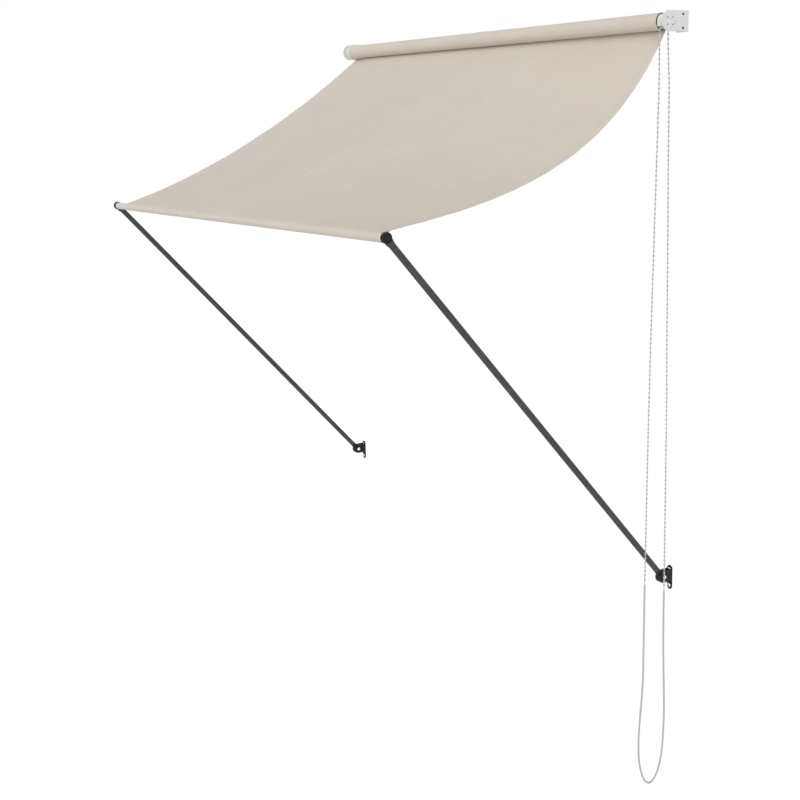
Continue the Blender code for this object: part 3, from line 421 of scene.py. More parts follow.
def finishes():
    """Make every finish once, from the colours in the panel."""
    if FINISHES:
        return FINISHES
    tones = bpy.context.scene.awning_finishes
    FINISHES.update({
        "canvas": woven_canvas("canvas_weave", tones.canvas),
        "thread": moulded("sewing_thread", tones.thread, 0.7),
        "white_steel": painted("white_satin_paint", tones.white_steel, 0.38),
        "white_plastic": moulded("white_moulding", tones.white_plastic, 0.42),
        # Low gloss, so that this black also serves as painted shade inside holes and sockets
        "black_plastic": moulded("black_moulding_and_shade", tones.black_plastic, 0.45, 0.10),
        "zinc": plated("zinc_plate", tones.zinc, 0.3),
        "spring": plated("spring_wire", tones.spring, 0.35, 900.0),
        "aluminium": drawn_aluminium("mill_aluminium", tones.aluminium),
        "bar_paint": painted("light_grey_paint", tones.bar_paint, 0.45),
        "casting": cast_and_coated("coated_casting", tones.casting),
        "arm_tube": painted("anthracite_powder_coat", tones.arm_tube, 0.5, 900.0, 0.00009, 0.10, 0.10),
        "beads": moulded("bead_plastic", tones.chain, 0.38),
        "cord": twisted_cord("cord_fibres", tones.chain),
    })
    return FINISHES


# Mesh helpers


def link_object(name, data):
    """A new object at the origin, in the scene."""
    obj = bpy.data.objects.new(name, data)
    bpy.context.scene.collection.objects.link(obj)
    return obj


def mesh_of(name, bm):
    """A mesh from a bmesh, which is freed."""
    mesh = bpy.data.meshes.new(name)
    bm.to_mesh(mesh)
    bm.free()
    return mesh


def add_mesh(name, bm, finish, smooth_angle=35.0):
    """Turn a bmesh into a finished object at the origin."""
    return add_object(name, mesh_of(name, bm), finish, smooth_angle)


def add_object(name, mesh, finish, smooth_angle=35.0):
    """Link a mesh at the origin; smooth_angle is None where it has its own normals."""
    mesh.name = name
    mesh.materials.clear()
    mesh.materials.append(finishes()[finish])
    if smooth_angle is not None:
        mesh.shade_smooth()
        mesh.set_sharp_from_angle(angle=math.radians(smooth_angle))
    return link_object(name, mesh)


def settle(obj, body, slot, *nodes):
    """Tie a finished piece to its body and hide the CAD nodes that it stands for; the slot is not used."""
    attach(obj, body)
    if nodes:
        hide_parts(*nodes)
    return obj


def evaluated_mesh(obj):
    """The mesh that an object's modifiers make; the object itself is removed."""
    graph = bpy.context.evaluated_depsgraph_get()
    mesh = bpy.data.meshes.new_from_object(obj.evaluated_get(graph), depsgraph=graph)
    old = obj.data
    bpy.data.objects.remove(obj, do_unlink=True)
    if isinstance(old, bpy.types.Mesh) and old.users == 0:
        bpy.data.meshes.remove(old)
    return mesh


def work_copy(node):
    """A CAD node to put modifiers on, its triangles joined and its flat faces made whole."""
    bm = bmesh.new()
    bm.from_mesh(frame["nodes"][node].data)
    bmesh.ops.remove_doubles(bm, verts=bm.verts, dist=0.000004)
    bmesh.ops.dissolve_limit(bm, angle_limit=math.radians(0.6), verts=bm.verts, edges=bm.edges)
    return link_object(node + "_work", mesh_of(node + "_base", bm))


def softened(node, body, slot, finish, width, segments=2):
    """A node with its hard edges rounded over."""
    work = work_copy(node)
    work.data.shade_smooth()
    bevel = work.modifiers.new("edges", "BEVEL")
    bevel.width = width
    bevel.segments = segments
    bevel.limit_method = "ANGLE"
    bevel.angle_limit = math.radians(32)
    bevel.miter_outer = "MITER_ARC"
    flat = work.modifiers.new("flat", "WEIGHTED_NORMAL")
    flat.mode = "FACE_AREA"
    flat.weight = 90
    flat.keep_sharp = True
    piece = add_object(node + "_finished", evaluated_mesh(work), finish, None)
    return settle(piece, body, slot, node)


def cast(node, body, slot, finish, voxel, passes):
    """A node remeshed into one soft skin with filleted corners, as a casting has."""
    work = work_copy(node)
    remesh = work.modifiers.new("skin", "REMESH")
    remesh.mode = "VOXEL"
    remesh.voxel_size = voxel
    soften = work.modifiers.new("soften", "SMOOTH")
    soften.factor = 0.5
    soften.iterations = passes
    piece = add_object(node + "_casting", evaluated_mesh(work), finish, 60.0)
    return settle(piece, body, slot, node)


def circle_ring(bm, place, along, radius, segments):
    """A ring of corners round local X, or one corner repeated where the radius is 0."""
    if radius == 0.0:
        return [bm.verts.new(place @ Vector((along, 0, 0)))] * segments
    angles = [2 * math.pi * k / segments for k in range(segments)]
    return [
        bm.verts.new(place @ Vector((along, radius * math.cos(angle), radius * math.sin(angle))))
        for angle in angles
    ]


def bridge(bm, near, far):
    """Faces between two closed rings with as many corners; a ring may be one corner repeated."""
    for k in range(len(near)):
        j = (k + 1) % len(near)
        corners = list(dict.fromkeys([near[k], near[j], far[j], far[k]]))
        if len(corners) > 2:
            bm.faces.new(corners)


def turned(bm, profile, place, segments=48):
    """Spin a closed (along, radius) profile round local X and put it in place."""
    rings = [circle_ring(bm, place, along, radius, segments) for along, radius in profile]
    on_axis = profile[0][1] == 0.0 and profile[-1][1] == 0.0
    for i in range(len(rings) - 1 if on_axis else len(rings)):
        bridge(bm, rings[i], rings[(i + 1) % len(rings)])
    bmesh.ops.recalc_face_normals(bm, faces=bm.faces)
    return bm


# Geometry Nodes helpers


class Tree:
    """A Geometry Nodes tree being put together, with named inputs."""

    def __init__(self, name, inputs):
        self.group = bpy.data.node_groups.new(name, "GeometryNodeTree")
        self.group.interface.new_socket("Geometry", in_out="INPUT", socket_type="NodeSocketGeometry")
        self.keys = {}
        for label, (kind, default) in inputs.items():
            socket = self.group.interface.new_socket(label, in_out="INPUT", socket_type="NodeSocket" + kind)
            if default is not None:
                socket.default_value = default
            self.keys[label] = socket.identifier
        self.group.interface.new_socket("Geometry", in_out="OUTPUT", socket_type="NodeSocketGeometry")
        self.start = self.group.nodes.new("NodeGroupInput")
        self.end = self.group.nodes.new("NodeGroupOutput")

    def value(self, label):
        return self.start.outputs[label]

    def add(self, kind, inputs=(), **settings):
        return add_node(self.group, kind, inputs, **settings)

    def close(self, geometry):
        """Realize, give the finish, and end the tree."""
        solid = self.add("GeometryNodeRealizeInstances", {"Geometry": geometry})
        coated = self.add("GeometryNodeSetMaterial", {
            "Geometry": solid.outputs[0], "Material": self.value("Finish")
        })
        self.group.links.new(coated.outputs[0], self.end.inputs[0])
        return self

    def scatter(self, copies):
        """End the tree with copies of one shape on points."""
        return self.close(self.add("GeometryNodeInstanceOnPoints", copies).outputs[0])

    def run(self, name, mesh, values, finish, smooth_angle=35.0):
        """Put the tree on a mesh with these input values, and return the plain result."""
        work = link_object(name + "_work", mesh)
        modifier = work.modifiers.new("nodes", "NODES")
        modifier.node_group = self.group
        for label, value in {**values, "Finish": finishes()[finish]}.items():
            modifier[self.keys[label]] = value
        return add_object(name, evaluated_mesh(work), finish, smooth_angle)


def path_mesh(name, paths):
    """Loose edges along each path, for a tree to follow."""
    mesh = bpy.data.meshes.new(name)
    points, edges = [], []
    for path in paths:
        first = len(points)
        points += [tuple(point) for point in path]
        edges += [(first + i, first + i + 1) for i in range(len(path) - 1)]
    mesh.from_pydata(points, edges, [])
    return mesh


def followed_tree(name, shape_inputs):
    """A tree for shapes spaced out along paths, and the points and turns they are put at."""
    tree = Tree(name, {
        "Pitch": ("Float", 0.01), **shape_inputs, "Finish": ("Material", None),
    })
    curve = tree.add("GeometryNodeMeshToCurve", {"Mesh": tree.value("Geometry")})
    points = tree.add(
        "GeometryNodeCurveToPoints", {"Curve": curve.outputs[0], "Length": tree.value("Pitch")}, mode="LENGTH"
    )
    return tree, {"Points": points.outputs["Points"], "Rotation": points.outputs["Rotation"]}


def bead_tree():
    """Round beads along a path."""
    tree, points = followed_tree("bead_chain", {"Bead radius": ("Float", 0.00275)})
    ball = tree.add("GeometryNodeMeshUVSphere", {
        "Segments": 10, "Rings": 7, "Radius": tree.value("Bead radius")
    })
    return tree.scatter({**points, "Instance": ball.outputs["Mesh"]})


def sleeve_tree():
    """A round sleeve along a path, rounded off towards both of its ends."""
    tree = Tree("cord_sleeve", {"Sleeve radius": ("Float", 0.0023), "Finish": ("Material", None)})
    curve = tree.add("GeometryNodeMeshToCurve", {"Mesh": tree.value("Geometry")})
    fine = tree.add("GeometryNodeResampleCurve", {"Curve": curve.outputs[0], "Count": 240})
    along = tree.add("GeometryNodeSplineParameter")
    to_start = tree.add("ShaderNodeMapRange", {
        "Value": along.outputs["Length"], "From Min": 0.0, "From Max": 0.006, "To Min": 0.45, "To Max": 1.0,
    })
    from_end = tree.add("ShaderNodeMath", {0: 1.0, 1: along.outputs["Factor"]}, operation="SUBTRACT")
    to_end = tree.add("ShaderNodeMapRange", {
        "Value": from_end.outputs[0], "From Min": 0.0, "From Max": 0.005, "To Min": 0.45, "To Max": 1.0,
    })
    ends = {0: to_start.outputs["Result"], 1: to_end.outputs["Result"]}
    size = tree.add("ShaderNodeMath", ends, operation="MINIMUM")
    ring = tree.add("GeometryNodeCurvePrimitiveCircle", {
        "Resolution": 14, "Radius": tree.value("Sleeve radius")
    })
    tube = tree.add("GeometryNodeCurveToMesh", {
        "Curve": fine.outputs[0], "Profile Curve": ring.outputs["Curve"], "Scale": size.outputs[0],
        "Fill Caps": True,
    })
    return tree.close(tube.outputs[0])


def stitch_tree():
    """Short spindles of thread along a path."""
    tree, points = followed_tree("stitch_rows", {
        "Thread radius": ("Float", 0.0003), "Stitch half length": ("Float", 0.0015),
    })
    stitch = tree.add("GeometryNodeMeshUVSphere", {"Segments": 6, "Rings": 4, "Radius": 1.0})
    size = tree.add("ShaderNodeCombineXYZ", {
        "X": tree.value("Thread radius"), "Y": tree.value("Thread radius"),
        "Z": tree.value("Stitch half length"),
    })
    return tree.scatter({**points, "Instance": stitch.outputs["Mesh"], "Scale": size.outputs[0]})


def coil_tree():
    """A wire wound round X."""
    tree = Tree("wound_wire", {
        "Turns": ("Float", 3.0), "Mean radius": ("Float", 0.007), "Wire radius": ("Float", 0.001),
        "Travel": ("Float", 0.01), "Start": ("Vector", (0.0, 0.0, 0.0)), "Finish": ("Material", None),
    })
    spiral = tree.add("GeometryNodeCurveSpiral", {
        "Resolution": 40, "Rotations": tree.value("Turns"), "Start Radius": tree.value("Mean radius"),
        "End Radius": tree.value("Mean radius"), "Height": tree.value("Travel"),
    })
    wire = tree.add("GeometryNodeCurvePrimitiveCircle", {
        "Resolution": 12, "Radius": tree.value("Wire radius"),
    })
    coil = tree.add("GeometryNodeCurveToMesh", {
        "Curve": spiral.outputs[0], "Profile Curve": wire.outputs["Curve"], "Fill Caps": True,
    })
    placed = tree.add("GeometryNodeTransform", {
        "Geometry": coil.outputs[0], "Translation": tree.value("Start"), "Rotation": (0.0, -math.pi / 2, 0.0),
    })
    return tree.close(placed.outputs[0])


def pattern_tree(name, pattern, inputs):
    """A tree for copies of one object on a mesh's points, and what the copies start from."""
    tree = Tree(name, {pattern: ("Object", None), **inputs, "Finish": ("Material", None)})
    points = tree.add("GeometryNodeMeshToPoints", {"Mesh": tree.value("Geometry"), "Radius": 0.001})
    shape = tree.add("GeometryNodeObjectInfo", {"Object": tree.value(pattern)})
    return tree, {"Points": points.outputs[0], "Instance": shape.outputs["Geometry"]}


def shade_cup_tree():
    """Black sunk cups, painted shade inside holes and sockets, each as deep and as wide as its point says."""
    tree, copies = pattern_tree("shade_cup_set", "Cup", {})
    size = tree.add("GeometryNodeInputNamedAttribute", {"Name": "size"}, data_type="FLOAT_VECTOR")
    return tree.scatter({**copies, "Scale": size.outputs["Attribute"]})


def shade_cup_object(turn):
    """A cup of unit radius and depth, open towards X before the turn."""
    profile = [(-1.0, 0.0), (-1.0, 1.0), (0.0, 1.0), (0.0, 0.80), (-0.8, 0.70), (-0.8, 0.0)]
    return add_mesh("cup_pattern", turned(bmesh.new(), profile, turn, 20), "black_plastic")


def shade_cups(name, turn, spots, slot):
    """Set black cups at these spots, each a place and a size along X, Y and Z: painted shade in holes and
    sockets, and dark marks.
    """
    mesh = bpy.data.meshes.new(name + "_spots")
    mesh.from_pydata([tuple(place) for place, size in spots], [], [])
    sizes = mesh.attributes.new("size", "FLOAT_VECTOR", "POINT")
    for i, (place, size) in enumerate(spots):
        sizes.data[i].vector = size
    cup = shade_cup_object(turn)
    piece = shade_cup_tree().run(name, mesh, {"Cup": cup}, "black_plastic", 40.0)
    bpy.data.objects.remove(cup, do_unlink=True)
    return settle(piece, "root", slot)


def screw_tree():
    """Screws, each turned round its shank by a random angle."""
    tree, copies = pattern_tree("screw_set", "Screw", {"Seed": ("Int", 4)})
    turn = tree.add("FunctionNodeRandomValue", {
        "Min": (0.0, 0.0, 0.0), "Max": (0.0, math.pi, 0.0), "Seed": tree.value("Seed"),
    }, data_type="FLOAT_VECTOR")
    return tree.scatter({**copies, "Rotation": turn.outputs[0]})


# The chain


def smooth_route(points, step):
    """Evenly spaced points on a Catmull-Rom curve through the route's points."""
    padded = [points[0] * 2 - points[1]] + points + [points[-1] * 2 - points[-2]]
    fine = []
    for a, b, c, d in zip(padded, padded[1:], padded[2:], padded[3:]):
        for k in range(ROUTE_STEPS):
            t = k / ROUTE_STEPS
            fine.append((
                2 * b + (c - a) * t + (2 * a - 5 * b + 4 * c - d) * t * t + (3 * b - a - 3 * c + d) * t ** 3
            ) / 2)
    fine.append(points[-1])
    even = [fine[0]]
    left = step
    for before, after in zip(fine, fine[1:]):
        span = (after - before).length
        done = 0.0
        while span - done >= left:
            done += left
            even.append(before.lerp(after, done / span))
            left = step
        left -= span - done
    if (even[-1] - fine[-1]).length > step * 0.3:
        even.append(fine[-1])
    return even


def chain_points():
    """The whole loop's centreline, from the wheel's top, down, and back to the wheel's top."""
    over_wheel = []
    top_gap = 0.16
    for k in range(13):
        angle = math.pi / 2 + top_gap + (math.pi / 2 - top_gap) * k / 12
        over_wheel.append(Vector((
            CHAIN_PLANE, ROLLER.y + CHAIN_WHEEL_RADIUS * math.cos(angle), CHAIN_WHEEL_RADIUS * math.sin(angle)
        )))
    back_over = [Vector((p.x, 2 * ROLLER.y - p.y, p.z)) for p in reversed(over_wheel)]
    hanging = [Vector((x, y, z)) for y, z, x in CHAIN_ROUTE]
    free = smooth_route([over_wheel[-1]] + hanging + [back_over[0]], CHAIN_STEP)
    return over_wheel + free[1:-1] + back_over


class AWNING_OT_chain(bpy.types.Operator):
    """Make the operating chain: a cord loop with beads on its upper part"""

    bl_idname = "awning.chain"
    bl_label = "Operating chain"

    def execute(self, context):
        sizes = context.scene.awning_chain
        points = chain_points()
        curve = bpy.data.curves.new("chain_cord", "CURVE")
        curve.dimensions = "3D"
        curve.bevel_depth = sizes.cord / 2
        curve.bevel_resolution = 3
        curve.use_fill_caps = True
        spline = curve.splines.new("POLY")
        spline.points.add(len(points) - 1)
        for place, point in zip(points, spline.points):
            point.co = (*place, 1.0)
        curve.materials.append(finishes()["cord"])
        cord = link_object("chain_cord", curve)
        settle(cord, "root", "grey_chain", "chain_loop")
        crown = Vector((CHAIN_PLANE, ROLLER.y, CHAIN_WHEEL_RADIUS))
        middle = min(range(len(points)), key=lambda i: points[i].z)
        front = [p for p in points[:middle] if p.z > sizes.front_end]
        back = [p for p in points[middle:] if p.z > sizes.back_end]
        strand = list(reversed(front)) + [crown] + list(reversed(back))
        beads = bead_tree().run(
            "chain_beads", path_mesh("bead_path", [strand]),
            {"Pitch": sizes.pitch, "Bead radius": sizes.bead / 2}, "beads", 60.0
        )
        settle(beads, "root", "grey_chain")
        lower = [p for p in points[:middle] if p.z < sizes.front_end - 0.004]
        lower += [p for p in points[middle:] if p.z < sizes.back_end - 0.004]
        sleeve = sleeve_tree().run("chain_sleeve", path_mesh("sleeve_path", [lower]), {
            "Sleeve radius": sizes.sleeve / 2,
        }, "cord", 60.0)
        settle(sleeve, "root", "grey_chain")
        return {"FINISHED"}


# The canvas


def across(share, left, seam, right):
    """Read a value given at the left edge, the middle seam and the right edge."""
    if share < 0.5:
        return left + (seam - left) * share * 2
    return seam + (right - seam) * (share * 2 - 1)


def roll_radius(x, sizes):
    """Radius of the rolled canvas at X: thicker over the seam and at the left hem."""
    share = (sizes.right - x) / sizes.width
    off_seam = abs(x - (sizes.right - sizes.width / 2)) / SEAM_SPREAD
    off_end = (x - sizes.right + sizes.width) / sizes.flare_length
    plain = sizes.roll_right + (sizes.roll_left - sizes.roll_right) * share
    flare = sizes.roll_flare * max(0.0, 1.0 - off_end) ** 2
    return plain + flare + sizes.roll_seam * max(0.0, 1.0 - off_seam ** 2)


def fold_relief(share, s, sizes):
    """Small lifts of the cloth: soft waves, pucker along the seams, and gathers at the bar."""
    x = share * sizes.width
    free = 4 * s * (1 - s)
    waves = 0.0016 * free * noise.noise(Vector((x * 4.0, s * 3.0, 1.7)))
    waves += 0.0007 * free * noise.noise(Vector((x * 13.0, s * 8.0, 5.1)))
    off_seam = abs(share - 0.5) * sizes.width
    seam = 0.0007 * free * math.exp(-(off_seam / 0.03) ** 2) * noise.noise(Vector((0.0, s * 30.0, 9.0)))
    edge = min(share, 1 - share) * sizes.width
    pucker = 0.0012 * free * math.exp(-(edge / 0.05) ** 2) * noise.noise(Vector((share * 3, s * 22.0, 3.0)))
    near_bar = math.exp(-((1 - s) / 0.07) ** 2) * min(1.0, (1 - s) / 0.03)
    gathers = 0.0009 * near_bar * noise.noise(Vector((x * 22.0, 0.0, 7.0)))
    return waves + seam + pucker + gathers


def cloth_line(share, sizes):
    """Points and normals down one line of the canvas, from the roll, round the bar, to the hem."""
    half = sizes.thickness / 2
    sag = across(share, sizes.sag_left, sizes.sag_seam, sizes.sag_right)
    skew = across(share, sizes.skew_left, sizes.skew_seam, sizes.skew_right)
    roll_left = sizes.right - sizes.width
    hem_left = roll_left - sizes.flare_left
    hem_right = sizes.right - sizes.taper_right
    hem_x = hem_left + (hem_right - hem_left) * share
    bar = HEAD_RIGHT.lerp(HEAD_LEFT, (HEAD_RIGHT.x - hem_x) / (HEAD_RIGHT.x - HEAD_LEFT.x))
    bar.x = 0.0
    chord = bar - ROLLER
    slope = math.atan2(-chord.z, -chord.y)
    leave = slope + math.atan(4 * (1 - skew) * sag / chord.length)
    arrive = slope - math.atan(4 * (1 + skew) * sag / chord.length)
    roll = roll_radius(roll_left + sizes.width * share, sizes) + CLOTH_GAP + half
    wrap = sizes.bar_radius + CLOTH_GAP + half
    start = ROLLER + Vector((0, math.sin(leave), -math.cos(leave))) * roll
    end = bar + Vector((0, -math.sin(arrive), math.cos(arrive))) * wrap
    along = end - start
    down = Vector((0, along.z, -along.y)).normalized()
    if down.z > 0:
        down = -down
    rows = []
    for i in range(CLOTH_ROWS + 1):
        s = i / CLOTH_ROWS
        drop = sag * 4 * s * (1 - s) * (1 + skew * (2 * s - 1)) - fold_relief(share, s, sizes)
        rows.append((start + along * s + down * drop, s))
    back = Vector((0, math.cos(arrive), math.sin(arrive)))
    under = Vector((0, math.sin(arrive), -math.cos(arrive)))
    flap = end + back * sizes.hem_neck + under * (sizes.thickness + CLOTH_GAP)
    reach = flap - bar
    leave_angle = math.atan2(reach.z, reach.y) - math.acos(wrap / reach.length)
    first_angle = math.atan2(end.z - bar.z, end.y - bar.y)
    sweep = (leave_angle - first_angle) % (2 * math.pi)
    for i in range(1, WRAP_ROWS + 1):
        angle = first_angle + sweep * i / WRAP_ROWS
        rows.append((bar + Vector((0, math.cos(angle), math.sin(angle))) * wrap, 1.0))
    for i in range(1, 5):
        rows.append((rows[CLOTH_ROWS + WRAP_ROWS][0].lerp(flap, i / 4), 1.0))
    for i in range(1, 4):
        rows.append((flap + back * sizes.hem_flap * i / 3, 1.0))
    line = []
    walked = 0.0
    for i, (point, s) in enumerate(rows):
        run = (rows[min(i + 1, len(rows) - 1)][0] - rows[max(i - 1, 0)][0]).normalized()
        normal = Vector((0, run.z, -run.y))
        if i:
            walked += (point - rows[i - 1][0]).length
        left = roll_left - sizes.flare_left * s
        right = sizes.right - sizes.taper_right * s
        place = point + Vector((left + (right - left) * share, 0, 0))
        line.append((place, normal, s, walked))
    return line


def cloth_columns(sizes):
    """Where the mesh's columns stand: close together at the hems and at the seam."""
    plain = [i / 96 for i in range(97)]
    hem = sizes.side_hem / sizes.width
    lap = sizes.seam_overlap / 2 / sizes.width
    fold = 0.0006 / sizes.width
    special = []
    for edge in (hem, 1 - hem, 0.5 - lap, 0.5 + lap):
        special += [edge - fold, edge + fold]
    special += [hem / 3, hem * 2 / 3, 1 - hem / 3, 1 - hem * 2 / 3, 0.5 - lap / 2, 0.5 + lap / 2]
    kept = [c for c in plain if all(abs(c - s) > 0.0015 for s in special)]
    return sorted(kept + special)


def extra_layers(share, sizes):
    """Half the extra thickness where the cloth lies double."""
    edge = min(share, 1 - share) * sizes.width
    off_seam = abs(share - 0.5) * sizes.width
    double = edge < sizes.side_hem or off_seam < sizes.seam_overlap / 2
    return sizes.thickness * 0.35 if double else 0.0


def canvas_mesh(sizes):
    """The cloth's closed mesh, with a UV map of the cloth laid flat, in metres."""
    bm = bmesh.new()
    uv = bm.loops.layers.uv.new("cloth")
    shares = cloth_columns(sizes)
    flat = {}
    grid = []
    for share in shares:
        line = cloth_line(share, sizes)
        half = sizes.thickness / 2 + extra_layers(share, sizes)
        upper, lower = [], []
        for place, normal, s, walked in line:
            top = bm.verts.new(place + normal * half)
            low = bm.verts.new(place - normal * half)
            flat[top] = flat[low] = (share * sizes.width, walked)
            upper.append(top)
            lower.append(low)
        grid.append(upper + list(reversed(lower)))
    count = len(grid[0])
    for near, far in zip(grid, grid[1:]):
        bridge(bm, near, far)
    for ring in (grid[0], grid[-1]):
        for i in range(count // 2 - 1):
            bm.faces.new((ring[i], ring[i + 1], ring[count - 2 - i], ring[count - 1 - i]))
    bmesh.ops.recalc_face_normals(bm, faces=bm.faces)
    for face in bm.faces:
        for loop in face.loops:
            loop[uv].uv = flat[loop.vert]
    return bm


def stitch_paths(sizes):
    """Rows of stitches: two along the middle seam, one along each side hem, one along the hem."""
    hem = (sizes.side_hem - 0.003) / sizes.width
    lap = (sizes.seam_overlap / 2 - 0.002) / sizes.width
    paths = []
    for share in (hem, 0.5 - lap, 0.5 + lap, 1 - hem):
        line = [row for row in cloth_line(share, sizes) if 0.0 < row[2] < 1.0]
        half = sizes.thickness / 2 + extra_layers(share, sizes)
        for side in (1, -1):
            paths.append([place + normal * (side * half) for place, normal, s, walked in line])
    crosswise = []
    for i in range(150):
        share = 0.004 + 0.992 * i / 149
        line = cloth_line(share, sizes)
        wanted = line[CLOTH_ROWS][3] - sizes.hem_neck - 0.004
        row = min(line[:CLOTH_ROWS + 1], key=lambda item: abs(item[3] - wanted))
        crosswise.append(row[0] + row[1] * (sizes.thickness / 2 + extra_layers(share, sizes)))
    return paths + [crosswise]


class AWNING_OT_canvas(bpy.types.Operator):
    """Make the open canvas with its hems and seam, and the stitches that hold them"""

    bl_idname = "awning.canvas"
    bl_label = "Canvas and stitches"

    def execute(self, context):
        sizes = context.scene.awning_cloth
        canvas = add_mesh("canvas_sheet", canvas_mesh(sizes), "canvas", 50.0)
        stitches = stitch_tree().run("canvas_stitches", path_mesh("stitch_paths", stitch_paths(sizes)), {
            "Pitch": sizes.stitch_pitch, "Thread radius": sizes.thread / 2,
            "Stitch half length": sizes.stitch_length / 2,
        }, "thread", 80.0)
        for piece in (canvas, stitches):
            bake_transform(piece)
        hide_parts("canvas")
        return {"FINISHED"}


class AWNING_OT_roll(bpy.types.Operator):
    """Make the rolled-up part of the canvas"""

    bl_idname = "awning.roll"
    bl_label = "Rolled canvas"

    def execute(self, context):
        sizes = context.scene.awning_cloth
        bm = bmesh.new()
        uv = bm.loops.layers.uv.new("cloth")
        segments, stations = 96, 150
        flat = {}
        rings = []
        for i in range(stations + 1):
            x = sizes.right - sizes.width * i / stations
            ring = []
            for k in range(segments):
                angle = 2 * math.pi * k / segments
                outward = Vector((0, math.cos(angle), math.sin(angle)))
                soft = 0.00018 * noise.noise(Vector((x * 9, outward.y * 2.2, outward.z * 2.2)))
                soft += 0.00010 * noise.noise(Vector((x * 40, outward.y * 1.5, outward.z * 1.5)))
                vert = bm.verts.new(
                    ROLLER + Vector((x, 0, 0)) + outward * (roll_radius(x, sizes) - 0.0001 + soft)
                )
                flat[vert] = (x, k / segments * ROLL_TURN)
                ring.append(vert)
            rings.append(ring)
        inner = []
        for x in (sizes.right - sizes.width, sizes.right):
            ring = circle_ring(bm, Matrix.Translation(ROLLER), x, ROLL_BORE, segments)
            for k, vert in enumerate(ring):
                flat[vert] = (x, k / segments * ROLL_TURN)
            inner.append(ring)
        loop = rings + inner
        for i in range(len(loop)):
            bridge(bm, loop[i], loop[(i + 1) % len(loop)])
        bmesh.ops.recalc_face_normals(bm, faces=bm.faces)
        for face in bm.faces:
            turns = [flat[corner.vert][1] for corner in face.loops]
            wraps = max(turns) - min(turns) > ROLL_TURN / 2
            for corner in face.loops:
                x, turn = flat[corner.vert]
                corner[uv].uv = (x, turn + ROLL_TURN if wraps and turn < ROLL_TURN / 2 else turn)
        roll = add_mesh("canvas_roll_cloth", bm, "canvas", 50.0)
        settle(roll, "roller", "canvas", "canvas_roll")
        return {"FINISHED"}


# Metal and plastic parts


class AWNING_OT_roller_ends(bpy.types.Operator):
    """Finish the brackets, the chain drive and the two ends of the roller"""

    bl_idname = "awning.roller_ends"
    bl_label = "Roller brackets and drive"

    def execute(self, context):
        for node in ("drive_bracket", "idle_bracket"):
            softened(node, "root", "white_steel", "white_steel", 0.0006, 3)
        softened("drive_housing", "root", "white_plastic", "white_plastic", 0.0005, 2)
        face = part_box("drive_bracket")[1].x
        spots = [((face + MARK_LIFT, y, z), WALL_HOLE_SHADE_CUP) for y, z in WALL_HOLES]
        for k in range(4):
            angle = math.pi / 4 + math.pi / 2 * k
            y, z = ROLLER.y + PEG_CIRCLE * math.cos(angle), PEG_CIRCLE * math.sin(angle)
            spots.append(((face + MARK_LIFT, y, z), PEG_SHADE_CUP))
        spots += [((face + MARK_LIFT, y, z), MOULD_MARK_CUP) for y, z in MOULD_MARKS]
        # Black cups on the plate: painted shade in the wall holes and peg holes, and the two mould marks
        shade_cups("bracket_recesses", Matrix.Identity(4), spots, "black_plastic")
        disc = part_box("drive_plug")[1].x
        ring = [(disc + 0.0001, 0.0140), (disc + 0.0001, 0.0192), (disc + 0.0003, 0.0194),
                (disc + 0.0005, 0.0192), (disc + 0.0005, 0.0140)]
        guard = turned(bmesh.new(), ring, Matrix.Translation(Vector((0.0, ROLLER.y, 0.0))), 96)
        settle(add_mesh("wheel_guard_disc", guard, "white_plastic"), "roller", "white_plastic")
        softened("drive_axle", "root", "zinc", "zinc", 0.0005)
        softened("idle_pin", "root", "zinc", "zinc", 0.0004)
        softened("chain_wheel", "roller", "white_plastic", "white_plastic", 0.0003)
        softened("drive_plug", "roller", "black_plastic", "black_plastic", 0.0003)
        softened("idle_plug", "roller", "white_plastic", "white_plastic", 0.0006, 3)
        softened("roller_tube", "roller", "tube_aluminium", "aluminium", 0.0002)
        return {"FINISHED"}


class AWNING_OT_front_bar(bpy.types.Operator):
    """Finish the front bar, its end plugs and their bolts"""

    bl_idname = "awning.front_bar"
    bl_label = "Front bar"

    def execute(self, context):
        softened("front_bar_tube", "front_bar", "light_grey_paint", "bar_paint", 0.0003)
        for side in ("right", "left"):
            softened("bar_plug_" + side, "front_bar", "white_plastic", "white_plastic", 0.0007, 3)
            softened("bar_bolt_" + side, side + "_arm", "dark_bolt", "casting", 0.0005)
        return {"FINISHED"}


class AWNING_OT_arms(bpy.types.Operator):
    """Finish the arms: tubes and castings"""

    bl_idname = "awning.arms"
    bl_label = "Arms"

    def execute(self, context):
        for side in ("right", "left"):
            body = side + "_arm"
            softened("arm_tube_" + side, body, "anthracite_tube", "arm_tube", 0.0003)
            cast("arm_head_" + side, body, "anthracite_cast", "arm_tube", 0.0007, 6)
            outward = 1 if side == "right" else -1
            centre = HEAD_RIGHT if side == "right" else HEAD_LEFT
            face = outward * (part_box("arm_head_" + side)[1 if outward > 0 else 0].x - centre.x)
            face = min(face, HEAD_FACE)
            profile = [(face - 0.0090, 0.0120), (face - 0.0090, 0.0129), (face + 0.0002, 0.0129),
                       (face + 0.0009, 0.0124), (face + 0.0011, 0.0118), (face + 0.0011, 0.0070)]
            profile = [(outward * along, radius) for along, radius in profile]
            cap = turned(bmesh.new(), profile, Matrix.Translation(centre), 64)
            settle(add_mesh("head_cap_" + side, cap, "black_plastic"), body, "black_plastic")
            cast("arm_foot_" + side, body, "anthracite_cast", "casting", 0.0007, 6)
        return {"FINISHED"}


